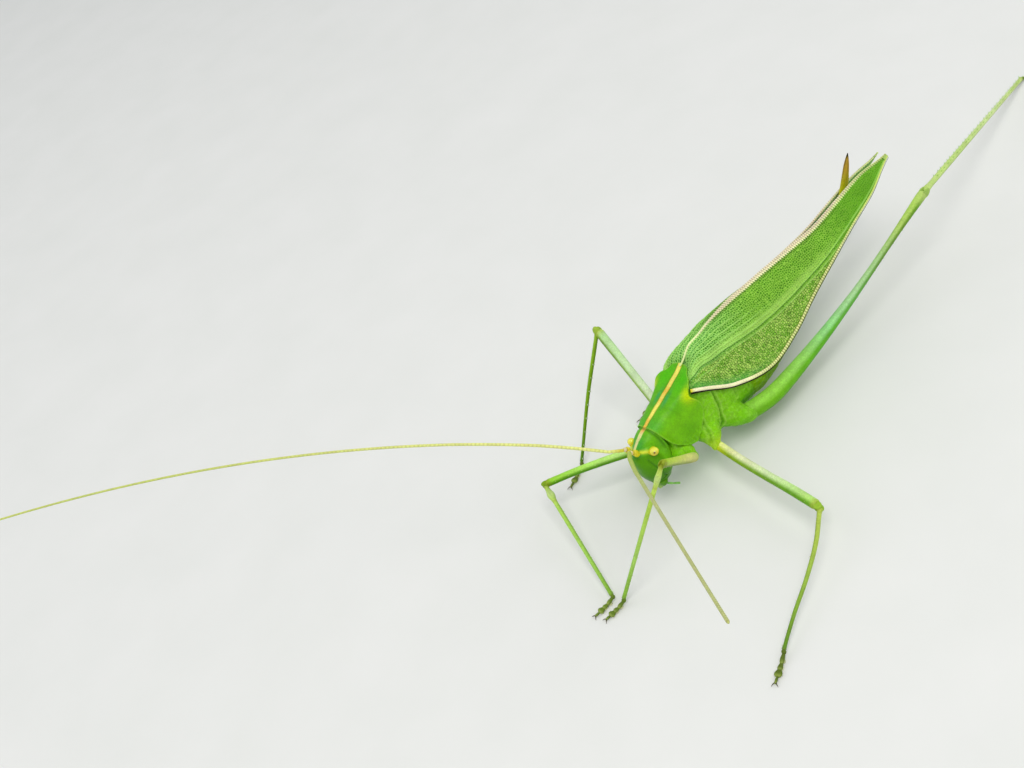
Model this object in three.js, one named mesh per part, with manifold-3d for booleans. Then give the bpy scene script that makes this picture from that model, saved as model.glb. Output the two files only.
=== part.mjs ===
// A leaf katydid (long horned grasshopper), life size, standing still on a floor.
// Millimetres, +Z up. The head faces -Y and the insect's left side is +X.
// Body shapes are given in the body's own frame as (forward, left, up) from the middle of the
// hind edge of the pronotum; legs and antennae are then set by headings in the floor's frame.
import * as THREE from 'three';
import { mergeVertices } from 'three/addons/utils/BufferGeometryUtils.js';
import Module from 'manifold-3d';

const wasm = await Module();
wasm.setup();

// ---- driving dimensions -------------------------------------------------------------------
const GAP = 0.06;                 // clearance between neighbouring sub-parts
const STAND_HEIGHT = 12.3;        // body origin above the floor
const NOSE_DOWN = 6.74;           // body pitch, degrees
const LEAN_RIGHT = 3.4;           // body roll, degrees

const WING_THICKNESS = 0.5;
const FEELER_LENGTH = 88;
const FEELER_RADIUS = 0.26;
const FEELER_LENGTHS = 3;         // each antenna is divided into this many named lengths
const FEELER_STEPS = 5;           // straight steps in each of those lengths

// thigh radii run evenly from hip to knee; bow is how far the thigh hangs below a straight line
const LEG_SIZES = {
  fore: {
    femur: 14.0, tibia: 16.6, tarsus: 3.0, hip: 0.6, thigh: [0.5, 0.55, 0.5, 0.46, 0.44, 0.44],
    knee: 0.44, bow: 0, shin: 0.3, sides: 8,
  },
  middle: {
    femur: 15.2, tibia: 15.2, tarsus: 3.6, hip: 0.95, thigh: [0.5, 0.54, 0.52, 0.5, 0.48, 0.48],
    knee: 0.48, bow: 0, shin: 0.3, sides: 8,
  },
  hind: {
    femur: 32.2, tibia: 33.2, tarsus: 4.2, hip: 1.05,
    thigh: [0.85, 1.0, 0.86, 0.75, 0.67, 0.58, 0.48, 0.43, 0.48, 0.62],
    knee: 0.62, bow: 1.05, shin: 0.4, sides: 10,
  },
};
const ANKLE_HEIGHT = 0.72;        // ankle joint above the floor
const ANKLE_RADIUS = 0.3;
const SOLE_WIDTH = 0.84;
const FOOT_HEIGHT = 0.62;

// a hip is (forward, out to its side, up); a heading turns from straight ahead to the insect's left,
// and rise is the thigh's climb from hip to knee, degrees
const HIPS = { fore: [5.8, 2.6, -7.7], middle: [3.35, 2.9, -8.3], hind: [-1.9, 3.6, -9.5] };
const LEGS = [
  { name: 'fore_l', kind: 'fore', side: 1, femur: 36.4, rise: 45.5, tibia: -25.4, tarsus: -10 },
  { name: 'fore_r', kind: 'fore', side: -1, femur: -42.6, rise: 0.2, tibia: 65.8, tarsus: -9 },
  { name: 'middle_l', kind: 'middle', side: 1, femur: 80.8, rise: -3.3, tibia: 19.6, tarsus: 20 },
  { name: 'middle_r', kind: 'middle', side: -1, femur: -108.2, rise: 30.7, tibia: 8.3, tarsus: 15 },
  { name: 'hind_l', kind: 'hind', side: 1, femur: 175.4, rise: 10.5, tibia: -166, tarsus: 172 },
  { name: 'hind_r', kind: 'hind', side: -1, femur: -176.8, rise: 6.2, tibia: -11.9, tarsus: 4 },
];

// antennae: heading and rise at the root and at the tip, degrees
const FEELERS = [
  { name: 'antenna_l', side: 1, heading: [61.0, 61.3], rise: [37.1, 35.3] },
  { name: 'antenna_r', side: -1, heading: [-48.6, -15.6], rise: [27.0, 12.7] },
];

const COLOURS = {
  green: 0x5ea82c,
  shield: 0x4fae2e,
  wing: 0x4f9a3a,
  pale: 0xc9d9a8,
  leg: 0x7fb245,
  eye: 0xd9b51e,
  feeler: 0xcfcf9a,
  foot: 0x7d8a45,
  blade: 0x9a8a1e,
};

// ---- small helpers ------------------------------------------------------------------------
const rad = THREE.MathUtils.degToRad;
const bodyPoint = (forward, left, up) => new THREE.Vector3(left, -forward, up);

const direction = (heading, rise) => new THREE.Vector3(
  Math.sin(rad(heading)) * Math.cos(rad(rise)),
  -Math.cos(rad(heading)) * Math.cos(rad(rise)),
  Math.sin(rad(rise)),
);

// smooth value of a list of evenly spaced numbers at 0..1 (Catmull-Rom)
function along(values, s) {
  const at = THREE.MathUtils.clamp(s, 0, 1) * (values.length - 1);
  const i = Math.min(Math.floor(at), values.length - 2);
  const t = at - i;
  const pick = (k) => values[THREE.MathUtils.clamp(k, 0, values.length - 1)];
  const [a, b, c, d] = [pick(i - 1), pick(i), pick(i + 1), pick(i + 2)];
  return 0.5 * (2 * b + (c - a) * t + (2 * a - 5 * b + 4 * c - d) * t * t
    + (3 * b - a - 3 * c + d) * t * t * t);
}

// a closed geometry from points and triangles, turned so that its faces point outward
function closed(points, faces) {
  let volume = 0;
  for (let f = 0; f < faces.length; f += 3) {
    const [a, b, c] = [points[faces[f]], points[faces[f + 1]], points[faces[f + 2]]];
    volume += a.dot(new THREE.Vector3().crossVectors(b, c));
  }
  const geometry = new THREE.BufferGeometry().setFromPoints(points);
  geometry.setIndex(volume < 0 ? faces.reverse() : faces);
  return geometry;
}

// closed solid through rings of equal point counts, with a flat cap on each end
function loft(rings) {
  const sides = rings[0].length;
  const points = rings.flat();
  const faces = [];
  for (let r = 0; r < rings.length - 1; r += 1) {
    for (let i = 0; i < sides; i += 1) {
      const [a, b] = [r * sides + i, r * sides + (i + 1) % sides];
      faces.push(a, b, b + sides, a, b + sides, a + sides);
    }
  }
  const lastRing = (rings.length - 1) * sides;
  for (const start of [0, lastRing]) {
    const hub = points.length;
    const centre = new THREE.Vector3();
    for (let i = 0; i < sides; i += 1) centre.add(points[start + i]);
    points.push(centre.divideScalar(sides));
    for (let i = 0; i < sides; i += 1) {
      const pair = [start + i, start + (i + 1) % sides];
      faces.push(hub, ...(start === 0 ? pair.reverse() : pair));
    }
  }
  return closed(points, faces);
}

// closed thin plate between two grids of points, rows of equal length
function plate(outer, inner) {
  const [rows, columns] = [outer.length, outer[0].length];
  const points = [...outer.flat(), ...inner.flat()];
  const under = rows * columns;
  const faces = [];
  const quad = (a, b, c, d) => faces.push(a, b, c, a, c, d);
  for (let r = 0; r < rows - 1; r += 1) {
    for (let c = 0; c < columns - 1; c += 1) {
      const a = r * columns + c;
      quad(a, a + 1, a + columns + 1, a + columns);
      quad(under + a, under + a + columns, under + a + columns + 1, under + a + 1);
    }
    const [left, right] = [r * columns, r * columns + columns - 1];
    quad(left, left + columns, under + left + columns, under + left);
    quad(right, under + right, under + right + columns, right + columns);
  }
  for (let c = 0; c < columns - 1; c += 1) {
    const last = (rows - 1) * columns + c;
    quad(c, under + c, under + c + 1, c + 1);
    quad(last, last + 1, under + last + 1, under + last);
  }
  return closed(points, faces);
}

// oval ring about a centre, spanned by two axes; fullness 1 is an ellipse, more is boxier
function oval(centre, across, over, width, height, sides, fullness = 1) {
  const ring = [];
  for (let i = 0; i < sides; i += 1) {
    const angle = (2 * Math.PI * (i + 0.5)) / sides;
    const [c, s] = [Math.cos(angle), Math.sin(angle)];
    const x = Math.sign(c) * Math.abs(c) ** (1 / fullness) * width;
    const y = Math.sign(s) * Math.abs(s) ** (1 / fullness) * height;
    ring.push(centre.clone().addScaledVector(across, x).addScaledVector(over, y));
  }
  return ring;
}

const FORE_AFT = new THREE.Vector3(0, 1, 0);
const SIDEWAYS = new THREE.Vector3(1, 0, 0);
const UPWARD = new THREE.Vector3(0, 0, 1);

const DOME_ANGLES = [30, 60];     // latitudes of the rings of a domed end

// round solid along a line of points, with a radius at each; an end may be domed
function tube(points, radii, { sides = 8, flatness = 1, domes = [true, true] } = {}) {
  const rings = [];
  const turn = new THREE.Quaternion();
  let axis = points[1].clone().sub(points[0]).normalize();
  let across = new THREE.Vector3().crossVectors(axis, Math.abs(axis.z) > 0.95 ? SIDEWAYS : UPWARD);
  across.normalize();
  const addRing = (centre, radius) => {
    const over = new THREE.Vector3().crossVectors(axis, across);
    rings.push(oval(centre, across, over, radius * flatness, radius, sides));
  };
  points.forEach((point, i) => {
    const before = points[Math.max(i - 1, 0)];
    const after = points[Math.min(i + 1, points.length - 1)];
    const next = after.clone().sub(before).normalize();
    turn.setFromUnitVectors(axis, next);
    across = across.clone().applyQuaternion(turn);
    axis = next;
    const domeRing = (angle, sign) => {
      const centre = point.clone().addScaledVector(axis, sign * Math.sin(rad(angle)) * radii[i]);
      addRing(centre, Math.cos(rad(angle)) * radii[i]);
    };
    if (i === 0 && domes[0]) DOME_ANGLES.toReversed().forEach((angle) => domeRing(angle, -1));
    addRing(point, radii[i]);
    if (i === points.length - 1 && domes[1]) DOME_ANGLES.forEach((angle) => domeRing(angle, 1));
  });
  return loft(rings);
}

// straight tube whose radii are spread evenly from one end to the other
function bar(start, end, radii, options) {
  const points = radii.map((r, i) => start.clone().lerp(end, i / (radii.length - 1)));
  return tube(points, radii, options);
}

function toManifold(geometry) {
  const bare = geometry.clone();
  bare.deleteAttribute('normal');
  bare.deleteAttribute('uv');
  const merged = mergeVertices(bare, 1e-5);
  return new wasm.Manifold(new wasm.Mesh({
    numProp: 3,
    vertProperties: new Float32Array(merged.attributes.position.array),
    triVerts: new Uint32Array(merged.index.array),
  }));
}

// the largest single piece of a manifold, as a geometry
function toGeometry(solid) {
  const [largest] = solid.decompose().sort((a, b) => b.volume() - a.volume());
  const mesh = largest.getMesh();
  const geometry = new THREE.BufferGeometry();
  geometry.setAttribute('position', new THREE.BufferAttribute(mesh.vertProperties, 3));
  geometry.setIndex(new THREE.BufferAttribute(mesh.triVerts, 1));
  return geometry;
}

const join = (...geometries) => toGeometry(geometries.map(toManifold).reduce((a, b) => a.add(b)));
const common = (a, b) => toGeometry(toManifold(a).intersect(toManifold(b)));
function cut(geometry, ...tools) {
  return toGeometry(tools.map(toManifold).reduce((a, b) => a.subtract(b), toManifold(geometry)));
}

function piece(name, geometry, colour, roughness = 0.5) {
  const material = new THREE.MeshStandardMaterial({ color: colour, roughness, metalness: 0 });
  const mesh = new THREE.Mesh(geometry, material);
  mesh.name = name;
  return mesh;
}

// ---- trunk --------------------------------------------------------------------------------
// lists run evenly from front to back; grow makes a larger copy, used as a cutting tool
const THORAX = {
  from: 3.2, to: -3.0, steps: 6, fullness: [1.25, 1.3],
  top: [-0.75, -0.35, -0.5, -1.0], bottom: [-8.9, -9.5, -9.9, -10.0], width: [2.3, 2.5, 2.5, 2.5],
};
const ABDOMEN = {
  from: -3.0 - GAP, to: -16, steps: 7, fullness: [1.3, 1.25],
  top: [-1.3, -1.7, -2.5, -3.3], bottom: [-10.0, -10.7, -10.1, -9.0], width: [2.5, 2.85, 2.5, 1.97],
};
const ABDOMEN_END = {
  from: -16 - GAP, to: -25.5, steps: 6, fullness: [1.25, 1.1],
  top: [-3.3, -4.1, -5.0, -5.9], bottom: [-9.0, -8.3, -7.8, -7.3], width: [1.97, 1.6, 1.1, 0.6],
};
const PROTHORAX = {
  from: 6.7, to: 3.2 + GAP, steps: 4, fullness: [1.15, 1.15],
  top: [-1.7, -1.4, -1.2], bottom: [-6.6, -7.7, -8.5], width: [1.45, 1.7, 1.85],
};
const SHIELD = {
  from: 7.9, to: -0.8, steps: 7, fullness: [1.4, 1.5, 1.8, 2.6, 3.4], sides: 20,
  top: [-0.95, -0.75, -0.45, -0.1, 0.4], bottom: [-5.2, -7.0, -8.0, -8.0, -8.0],
  width: [1.83, 2.15, 2.52, 2.98, 3.15],
};

function trunkPart({ from, to, top, bottom, width, fullness, steps, sides = 18 }, grow = 0) {
  const rings = [];
  for (let i = 0; i <= steps; i += 1) {
    const s = i / steps;
    const overrun = (s === 0 ? grow : 0) - (s === 1 ? grow : 0);
    const forward = THREE.MathUtils.lerp(from, to, s) + overrun;
    const [high, low] = [along(top, s) + grow, along(bottom, s) - grow];
    const centre = bodyPoint(forward, 0, (high + low) / 2);
    const [halfWidth, halfHeight] = [along(width, s) + grow, (high - low) / 2];
    rings.push(oval(centre, SIDEWAYS, UPWARD, halfWidth, halfHeight, sides, along(fullness, s)));
  }
  return loft(rings);
}

// side view of the shield as (forward, up): front margin, lower lobe, slanting hind margin
function shieldSideView(grow = 0) {
  const shape = new THREE.Shape();
  shape.moveTo(7.62 + grow, 0.8);
  shape.lineTo(7.62 + grow, -1.2);
  shape.quadraticCurveTo(7.55 + grow, -3.2 - grow, 6.9, -4.3 - grow);
  shape.quadraticCurveTo(6.2, -5.6 - grow, 5.2, -6.2 - grow);
  shape.quadraticCurveTo(4.6 - grow, -6.6 - grow, 4.1 - grow, -5.9 - grow);
  shape.quadraticCurveTo(2.5 - grow, -4.4 - grow, 2.15 - grow, -3.0 - grow);
  shape.quadraticCurveTo(2.1 - grow, -2.0 - grow, 2.6 - grow, -1.2 - grow);
  shape.quadraticCurveTo(1.9 - grow, -0.35 - grow, 1.0 - grow, -0.05 - grow);
  shape.lineTo(-0.6 - grow, 0.8);
  return shape;
}

// a (forward, up) outline pushed across the body, half its width to each side
function sidePlate(shape, halfWidth, curveSegments = 5) {
  const options = { depth: 2 * halfWidth, bevelEnabled: false, curveSegments };
  const forward = new THREE.Vector3(0, -1, 0);
  const basis = new THREE.Matrix4().makeBasis(forward, UPWARD, SIDEWAYS.clone().negate());
  basis.setPosition(halfWidth, 0, 0);
  return new THREE.ExtrudeGeometry(shape, options).applyMatrix4(basis);
}

const thoraxTool = trunkPart(THORAX, GAP);
const prothoraxTool = trunkPart(PROTHORAX, GAP);
const abdomenTool = trunkPart(ABDOMEN, GAP);
const abdomenEndTool = trunkPart(ABDOMEN_END, GAP);

const SHIELD_REACH = 4;           // wider than the shield on either side
function makeShield(grow = 0) {
  const solid = common(trunkPart(SHIELD, grow), sidePlate(shieldSideView(2 * grow), SHIELD_REACH));
  return cut(solid, trunkPart(PROTHORAX, GAP - grow), trunkPart(THORAX, GAP - grow));
}

// ---- head ---------------------------------------------------------------------------------
// level sections, evenly spaced from crown to mouth
const HEAD = {
  crown: -1.1, mouth: -6.9, steps: 8, sides: 18, fullness: 1.1,
  middle: [8.75, 8.75, 8.8, 8.9, 9.05, 9.2, 9.35],
  length: [1.0, 1.85, 2.05, 2.1, 2.05, 1.75, 1.25],
  width: [0.85, 1.65, 1.85, 1.95, 1.95, 1.75, 1.35],
};
const BEAK = { from: [9.2, -1.5], to: [10.45, -1.3], radii: [0.5, 0.4, 0.25] };
const EYE = { forward: 9.2, out: 1.75, up: -2.3, radii: [0.5, 0.58, 0.6], columns: 12, rows: 7 };
const SCAPE = { root: [10.25, 0.66, -1.6], tip: [10.85, 0.5, -0.95], radii: [0.34, 0.38, 0.34] };
const MOUTH = {
  from: HEAD.mouth - GAP, to: -8.3, steps: 4, sides: 14,
  middle: [9.5, 9.75, 9.9], length: [1.15, 0.95, 0.4], width: [1.25, 1.1, 0.6],
};
const PALP = { points: [[9.7, 0.9, -7.5], [10.0, 1.35, -7.4], [9.0, 2.0, -8.15]], radius: 0.25 };

function headShell(grow = 0) {
  const rings = [];
  for (let i = 0; i <= HEAD.steps; i += 1) {
    const s = i / HEAD.steps;
    const overrun = (s === 0 ? grow : 0) - (s === 1 ? grow : 0);
    const level = THREE.MathUtils.lerp(HEAD.crown, HEAD.mouth, s) + overrun;
    const centre = bodyPoint(along(HEAD.middle, s), 0, level);
    const [width, length] = [along(HEAD.width, s) + grow, along(HEAD.length, s) + grow];
    rings.push(oval(centre, SIDEWAYS, FORE_AFT, width, length, HEAD.sides, HEAD.fullness));
  }
  const beak = bar(bodyPoint(BEAK.from[0], 0, BEAK.from[1]), bodyPoint(BEAK.to[0], 0, BEAK.to[1]),
    BEAK.radii.map((r) => r + grow));
  return join(loft(rings), beak);
}

function eyeBall(side, grow = 0) {
  const centre = bodyPoint(EYE.forward, side * EYE.out, EYE.up);
  const geometry = new THREE.SphereGeometry(1, EYE.columns, EYE.rows);
  return geometry.scale(...EYE.radii.map((r) => r + grow)).translate(...centre);
}

function makeMouth(grow = 0) {
  const rings = [];
  for (let i = 0; i <= MOUTH.steps; i += 1) {
    const s = i / MOUTH.steps;
    const centre = bodyPoint(along(MOUTH.middle, s), 0, THREE.MathUtils.lerp(MOUTH.from, MOUTH.to, s));
    const [width, length] = [along(MOUTH.width, s) + grow, along(MOUTH.length, s) + grow];
    rings.push(oval(centre, SIDEWAYS, FORE_AFT, width, length, MOUTH.sides));
  }
  return loft(rings);
}

// ---- wings --------------------------------------------------------------------------------
// lists run evenly from the root to the tip; inner is the edge along the back, outer the low edge
const WING = {
  steps: 14, columns: 7,
  forward: { inner: [-0.1, -36.3], outer: [2.4, -36.3] },
  outerUp: [-0.7, -5.15, -7.9, -8.0, -7.1, -6.6, -6.3, -6.15, -5.3],
  outerOut: [2.85, 3.1, 3.05, 2.9, 2.7, 2.4, 1.95, 1.5, 0.9],
  spread: [0.5, 0.55, 0.65, 0.75, 0.8, 0.85, 0.9, 0.9, 0.9],
  slope: [3.0, 3.0, 2.1, 1.5, 1.3, 1.2, 1.1, 1.1, 1.1],
};
// the right wing lies a little lower than the left, and makes room for the ovipositor
const WING_SIDES = [
  {
    name: 'tegmen_l', side: 1, innerOut: [0.15, 0.15, 0.3, 0.45, 0.5, 0.5, 0.5, 0.55, 0.6],
    innerUp: [0.3, 1.0, 0.5, -0.35, -1.5, -2.6, -3.05, -3.55, -4.85],
  },
  {
    name: 'tegmen_r', side: -1, innerOut: [0.15, 0.15, 0.3, 0.5, 0.8, 1.2, 1.35, 1.1, 0.4],
    innerUp: [0.25, 0.6, 0.05, -1.1, -2.3, -3.4, -3.8, -4.1, -4.75],
  },
];
const MIDLINE_CLEARANCE = 0.05;

function wingPoint({ side, innerOut, innerUp }, s, t) {
  const { lerp } = THREE.MathUtils;
  const inner = lerp(...WING.forward.inner, s);
  const outer = lerp(...WING.forward.outer, s);
  const out = lerp(along(innerOut, s), along(WING.outerOut, s), t ** along(WING.spread, s));
  const up = lerp(along(innerUp, s), along(WING.outerUp, s), t ** along(WING.slope, s));
  return bodyPoint(lerp(inner, outer, t), side * out, up);
}

function makeWing(wing) {
  const [outside, inside] = [[], []];
  const small = 1e-3;
  for (let i = 0; i <= WING.steps; i += 1) {
    const s = i / WING.steps;
    const rowOut = [];
    const rowIn = [];
    for (let j = 0; j <= WING.columns; j += 1) {
      const t = THREE.MathUtils.clamp(j / WING.columns, small, 1 - small);
      const at = wingPoint(wing, s, t);
      const downWing = wingPoint(wing, s, t + small).sub(wingPoint(wing, s, t - small));
      const [ahead, behind] = [Math.max(s - small, 0), Math.min(s + small, 1)];
      const back = wingPoint(wing, behind, t).sub(wingPoint(wing, ahead, t));
      const outward = new THREE.Vector3().crossVectors(downWing, back).normalize();
      const under = at.clone().addScaledVector(outward, -wing.side * WING_THICKNESS);
      under.x = wing.side * Math.max(under.x * wing.side, MIDLINE_CLEARANCE);
      rowOut.push(at);
      rowIn.push(under);
    }
    outside.push(rowOut);
    inside.push(rowIn);
  }
  return plate(outside, inside);
}

// ---- tail ---------------------------------------------------------------------------------
const BLADE = {
  line: [[-25.5 - GAP, -6.9], [-27.6, -6.3], [-29.8, -4.55], [-31.4, -2.95], [-32.7, -1.6]],
  height: [0.8, 0.95, 0.8, 0.6, 0.2], thickness: 0.28, left: -0.5, sides: 12,
};
const CERCUS = { root: [-25.0, 1.0, -6.4], tip: [-27.0, 1.0, -6.0], radii: [0.3, 0.28, 0.25] };

function makeBlade() {
  const rings = BLADE.line.map(([forward, up], i) => {
    const before = BLADE.line[Math.max(i - 1, 0)];
    const after = BLADE.line[Math.min(i + 1, BLADE.line.length - 1)];
    const axis = bodyPoint(after[0] - before[0], 0, after[1] - before[1]).normalize();
    const over = new THREE.Vector3().crossVectors(SIDEWAYS, axis).normalize();
    const centre = bodyPoint(forward, BLADE.left, up);
    return oval(centre, SIDEWAYS, over, BLADE.thickness, BLADE.height[i], BLADE.sides);
  });
  return loft(rings);
}

// ---- assembly -----------------------------------------------------------------------------
const katydid = new THREE.Group();
katydid.name = 'katydid';
const body = new THREE.Group();
body.position.z = STAND_HEIGHT;
body.rotation.set(rad(NOSE_DOWN), rad(-LEAN_RIGHT), 0, 'XYZ');
body.updateMatrix();
katydid.add(body);

const shieldGeometry = makeShield();
const shieldTool = makeShield(GAP);
const trunkTools = [thoraxTool, prothoraxTool, abdomenTool, shieldTool];
const headTool = headShell(GAP);

body.add(piece('thorax', trunkPart(THORAX), COLOURS.green));
body.add(piece('prothorax', trunkPart(PROTHORAX), COLOURS.green));
body.add(piece('pronotum', shieldGeometry, COLOURS.shield));
body.add(piece('abdomen', trunkPart(ABDOMEN), COLOURS.green));
body.add(piece('abdomen_end', trunkPart(ABDOMEN_END), COLOURS.green));
body.add(piece('ovipositor', cut(makeBlade(), abdomenEndTool), COLOURS.blade));
const headSolid = cut(headShell(), prothoraxTool, shieldTool, eyeBall(1, GAP), eyeBall(-1, GAP));
body.add(piece('head', headSolid, COLOURS.green));
body.add(piece('mouthparts', makeMouth(), COLOURS.pale));
for (const wing of WING_SIDES) {
  const solid = cut(makeWing(wing), shieldTool, thoraxTool, abdomenTool, abdomenEndTool);
  body.add(piece(wing.name, solid, COLOURS.wing));
}

for (const [suffix, side] of [['l', 1], ['r', -1]]) {
  const at = ([forward, out, up]) => bodyPoint(forward, side * out, up);
  body.add(piece(`eye_${suffix}`, eyeBall(side), COLOURS.eye, 0.25));
  const scape = bar(at(SCAPE.root), at(SCAPE.tip), SCAPE.radii, { sides: 6 });
  body.add(piece(`scape_${suffix}`, cut(scape, headTool), COLOURS.feeler));
  const palp = tube(PALP.points.map(at), PALP.points.map(() => PALP.radius), { sides: 6 });
  body.add(piece(`palp_${suffix}`, cut(palp, makeMouth(GAP), headTool), COLOURS.pale));
  const cercus = bar(at(CERCUS.root), at(CERCUS.tip), CERCUS.radii, { sides: 6 });
  body.add(piece(`cercus_${suffix}`, cut(cercus, abdomenEndTool), COLOURS.green));
}

// legs: a coxa on the trunk, then thigh, shin and foot in the floor's frame
const COXA_TAPER = [1.15, 1.1, 1];
// a coxa's root, from its hip: forward, up, and as a share of the hip's distance out
const COXA_ROOT = {
  fore: { forward: 0, up: 0.6, share: 0.45 },
  middle: { forward: 0, up: 1.6, share: 0.45 },
  hind: { forward: 1.6, up: 0.6, share: 0.6 },
};
function makeCoxa(leg, hip) {
  const { forward, up, share } = COXA_ROOT[leg.kind];
  const root = new THREE.Vector3(hip.x * share, hip.y - forward, hip.z + up);
  const r = LEG_SIZES[leg.kind].hip;
  const radii = COXA_TAPER.map((share) => share * r);
  return cut(bar(root, hip, radii), ...trunkTools);
}

const SHIN_TAPER = [1, 0.87];
function makeLeg(leg) {
  const size = LEG_SIZES[leg.kind];
  const [forward, out, up] = HIPS[leg.kind];
  const hipInBody = bodyPoint(forward, leg.side * out, up);
  const hip = hipInBody.clone().applyMatrix4(body.matrix);
  const thighAxis = direction(leg.femur, leg.rise);
  const knee = hip.clone().addScaledVector(thighAxis, size.femur);
  const drop = Math.asin((knee.z - ANKLE_HEIGHT) / size.tibia);
  const shinAxis = direction(leg.tibia, -THREE.MathUtils.radToDeg(drop));
  const ankle = knee.clone().addScaledVector(shinAxis, size.tibia);

  const thighStart = hip.clone().addScaledVector(thighAxis, size.hip + GAP);
  const radii = [...size.thigh, size.knee];
  const line = radii.map((r, i) => {
    const s = i / (radii.length - 1);
    return thighStart.clone().lerp(knee, s).addScaledVector(UPWARD, -size.bow * Math.sin(Math.PI * s));
  });
  const thigh = tube(line, radii, { sides: size.sides, domes: [false, true] });

  const bisector = thighAxis.clone().add(shinAxis).normalize();
  const shinStart = knee.clone().addScaledVector(bisector, size.knee + size.shin + GAP);
  const shin = bar(shinStart, ankle, [...SHIN_TAPER.map((share) => share * size.shin), ANKLE_RADIUS]);
  return {
    coxa: makeCoxa(leg, hipInBody), thigh, shin, foot: makeFoot(leg, ankle, size.tarsus),
  };
}

// foot: a low bar with a flat sole, widest at its third joint; width and height are shares of
// SOLE_WIDTH and FOOT_HEIGHT, and soleDepth puts the sole at that share of a section's half height
const FOOT = {
  steps: 6, sides: 10, fullness: 1.2, soleDepth: 0.8,
  width: [0.62, 0.8, 0.75, 1.0, 0.9, 0.6], height: [1.15, 0.95, 0.85, 0.9, 0.8, 0.8],
};
function makeFoot(leg, ankle, length) {
  const heading = direction(leg.tarsus, 0);
  const across = new THREE.Vector3().crossVectors(heading, UPWARD);
  const rings = [];
  for (let i = 0; i <= FOOT.steps; i += 1) {
    const s = i / FOOT.steps;
    const reach = THREE.MathUtils.lerp(ANKLE_RADIUS + GAP, length, s);
    const halfWidth = (along(FOOT.width, s) * SOLE_WIDTH) / 2;
    const halfHeight = (along(FOOT.height, s) * FOOT_HEIGHT) / (1 + FOOT.soleDepth);
    const centre = new THREE.Vector3(ankle.x, ankle.y, 0).addScaledVector(heading, reach);
    centre.z = halfHeight * FOOT.soleDepth;
    const ring = oval(centre, across, UPWARD, halfWidth, halfHeight, FOOT.sides, FOOT.fullness);
    ring.forEach((p) => { p.z = Math.max(p.z, 0); });
    rings.push(ring);
  }
  return loft(rings);
}

for (const leg of LEGS) {
  const { coxa, thigh, shin, foot } = makeLeg(leg);
  body.add(piece(`coxa_${leg.name}`, coxa, COLOURS.green));
  katydid.add(piece(`femur_${leg.name}`, thigh, COLOURS.leg));
  katydid.add(piece(`tibia_${leg.name}`, shin, COLOURS.leg));
  katydid.add(piece(`tarsus_${leg.name}`, foot, COLOURS.foot));
}

// antennae: a curve whose heading and rise turn evenly from root to tip
function feelerPoint(feeler, root, s, samples = 24) {
  const point = root.clone();
  const step = (FEELER_LENGTH * s) / samples;
  for (let i = 0; i < samples; i += 1) {
    const t = (s * (i + 0.5)) / samples;
    const heading = THREE.MathUtils.lerp(...feeler.heading, t);
    point.addScaledVector(direction(heading, THREE.MathUtils.lerp(...feeler.rise, t)), step);
  }
  return point;
}

for (const feeler of FEELERS) {
  const [forward, out, up] = SCAPE.tip;
  const socket = bodyPoint(forward, feeler.side * out, up).applyMatrix4(body.matrix);
  const start = (SCAPE.radii[2] + GAP + FEELER_RADIUS) / FEELER_LENGTH;
  const gap = (GAP + 2 * FEELER_RADIUS) / FEELER_LENGTH;
  const share = (1 - start) / FEELER_LENGTHS;
  for (let n = 0; n < FEELER_LENGTHS; n += 1) {
    const a = start + n * share;
    const b = a + share - (n < FEELER_LENGTHS - 1 ? gap : 0);
    const points = [];
    for (let i = 0; i <= FEELER_STEPS; i += 1) {
      points.push(feelerPoint(feeler, socket, THREE.MathUtils.lerp(a, b, i / FEELER_STEPS)));
    }
    const rod = tube(points, points.map(() => FEELER_RADIUS), { sides: 6 });
    katydid.add(piece(`${feeler.name}_${n + 1}`, rod, COLOURS.feeler));
  }
}

// origin: the middle of the underside of the whole model's box
katydid.updateMatrixWorld(true);
const box = new THREE.Box3().setFromObject(katydid, true);
katydid.position.set(-(box.min.x + box.max.x) / 2, -(box.min.y + box.max.y) / 2, -box.min.z);

export default katydid;
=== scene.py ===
"""Looks of a leaf katydid (long horned grasshopper): skin, shield, wings, legs, feelers and their materials.

Shapes are made in millimetres. The body's own frame has its origin at the middle of the pronotum's hind
edge. Its points are (left, back, up), and places in it are written as (forward, left, up), or as (forward,
out, up) for both sides at once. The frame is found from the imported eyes, and the legs and antennae from
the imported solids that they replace. A colour is a tuple of red, green and blue, 0..255 as a picture shows
it, or an array of linear colours.
"""
import math
from types import SimpleNamespace

import bmesh
import bpy
import numpy as np
from mathutils import Matrix, Vector


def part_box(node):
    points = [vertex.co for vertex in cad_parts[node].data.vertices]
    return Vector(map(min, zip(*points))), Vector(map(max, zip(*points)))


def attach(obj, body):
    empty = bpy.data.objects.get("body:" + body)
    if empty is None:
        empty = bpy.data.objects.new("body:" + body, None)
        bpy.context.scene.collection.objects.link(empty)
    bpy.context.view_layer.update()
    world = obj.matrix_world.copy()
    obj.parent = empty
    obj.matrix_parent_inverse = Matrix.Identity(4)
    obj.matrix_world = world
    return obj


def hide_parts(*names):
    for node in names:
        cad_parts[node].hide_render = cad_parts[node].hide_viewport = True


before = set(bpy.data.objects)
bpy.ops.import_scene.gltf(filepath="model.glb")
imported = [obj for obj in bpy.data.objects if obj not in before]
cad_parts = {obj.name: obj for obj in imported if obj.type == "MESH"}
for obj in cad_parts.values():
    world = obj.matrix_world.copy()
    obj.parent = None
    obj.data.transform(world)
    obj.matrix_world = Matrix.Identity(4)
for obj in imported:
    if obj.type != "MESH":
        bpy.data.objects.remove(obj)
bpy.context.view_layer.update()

MM = 0.001
TAU = 2 * math.pi
UPWARD = np.array([0.0, 0.0, 1.0])
SIDES = {"l": 1, "r": -1}


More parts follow.
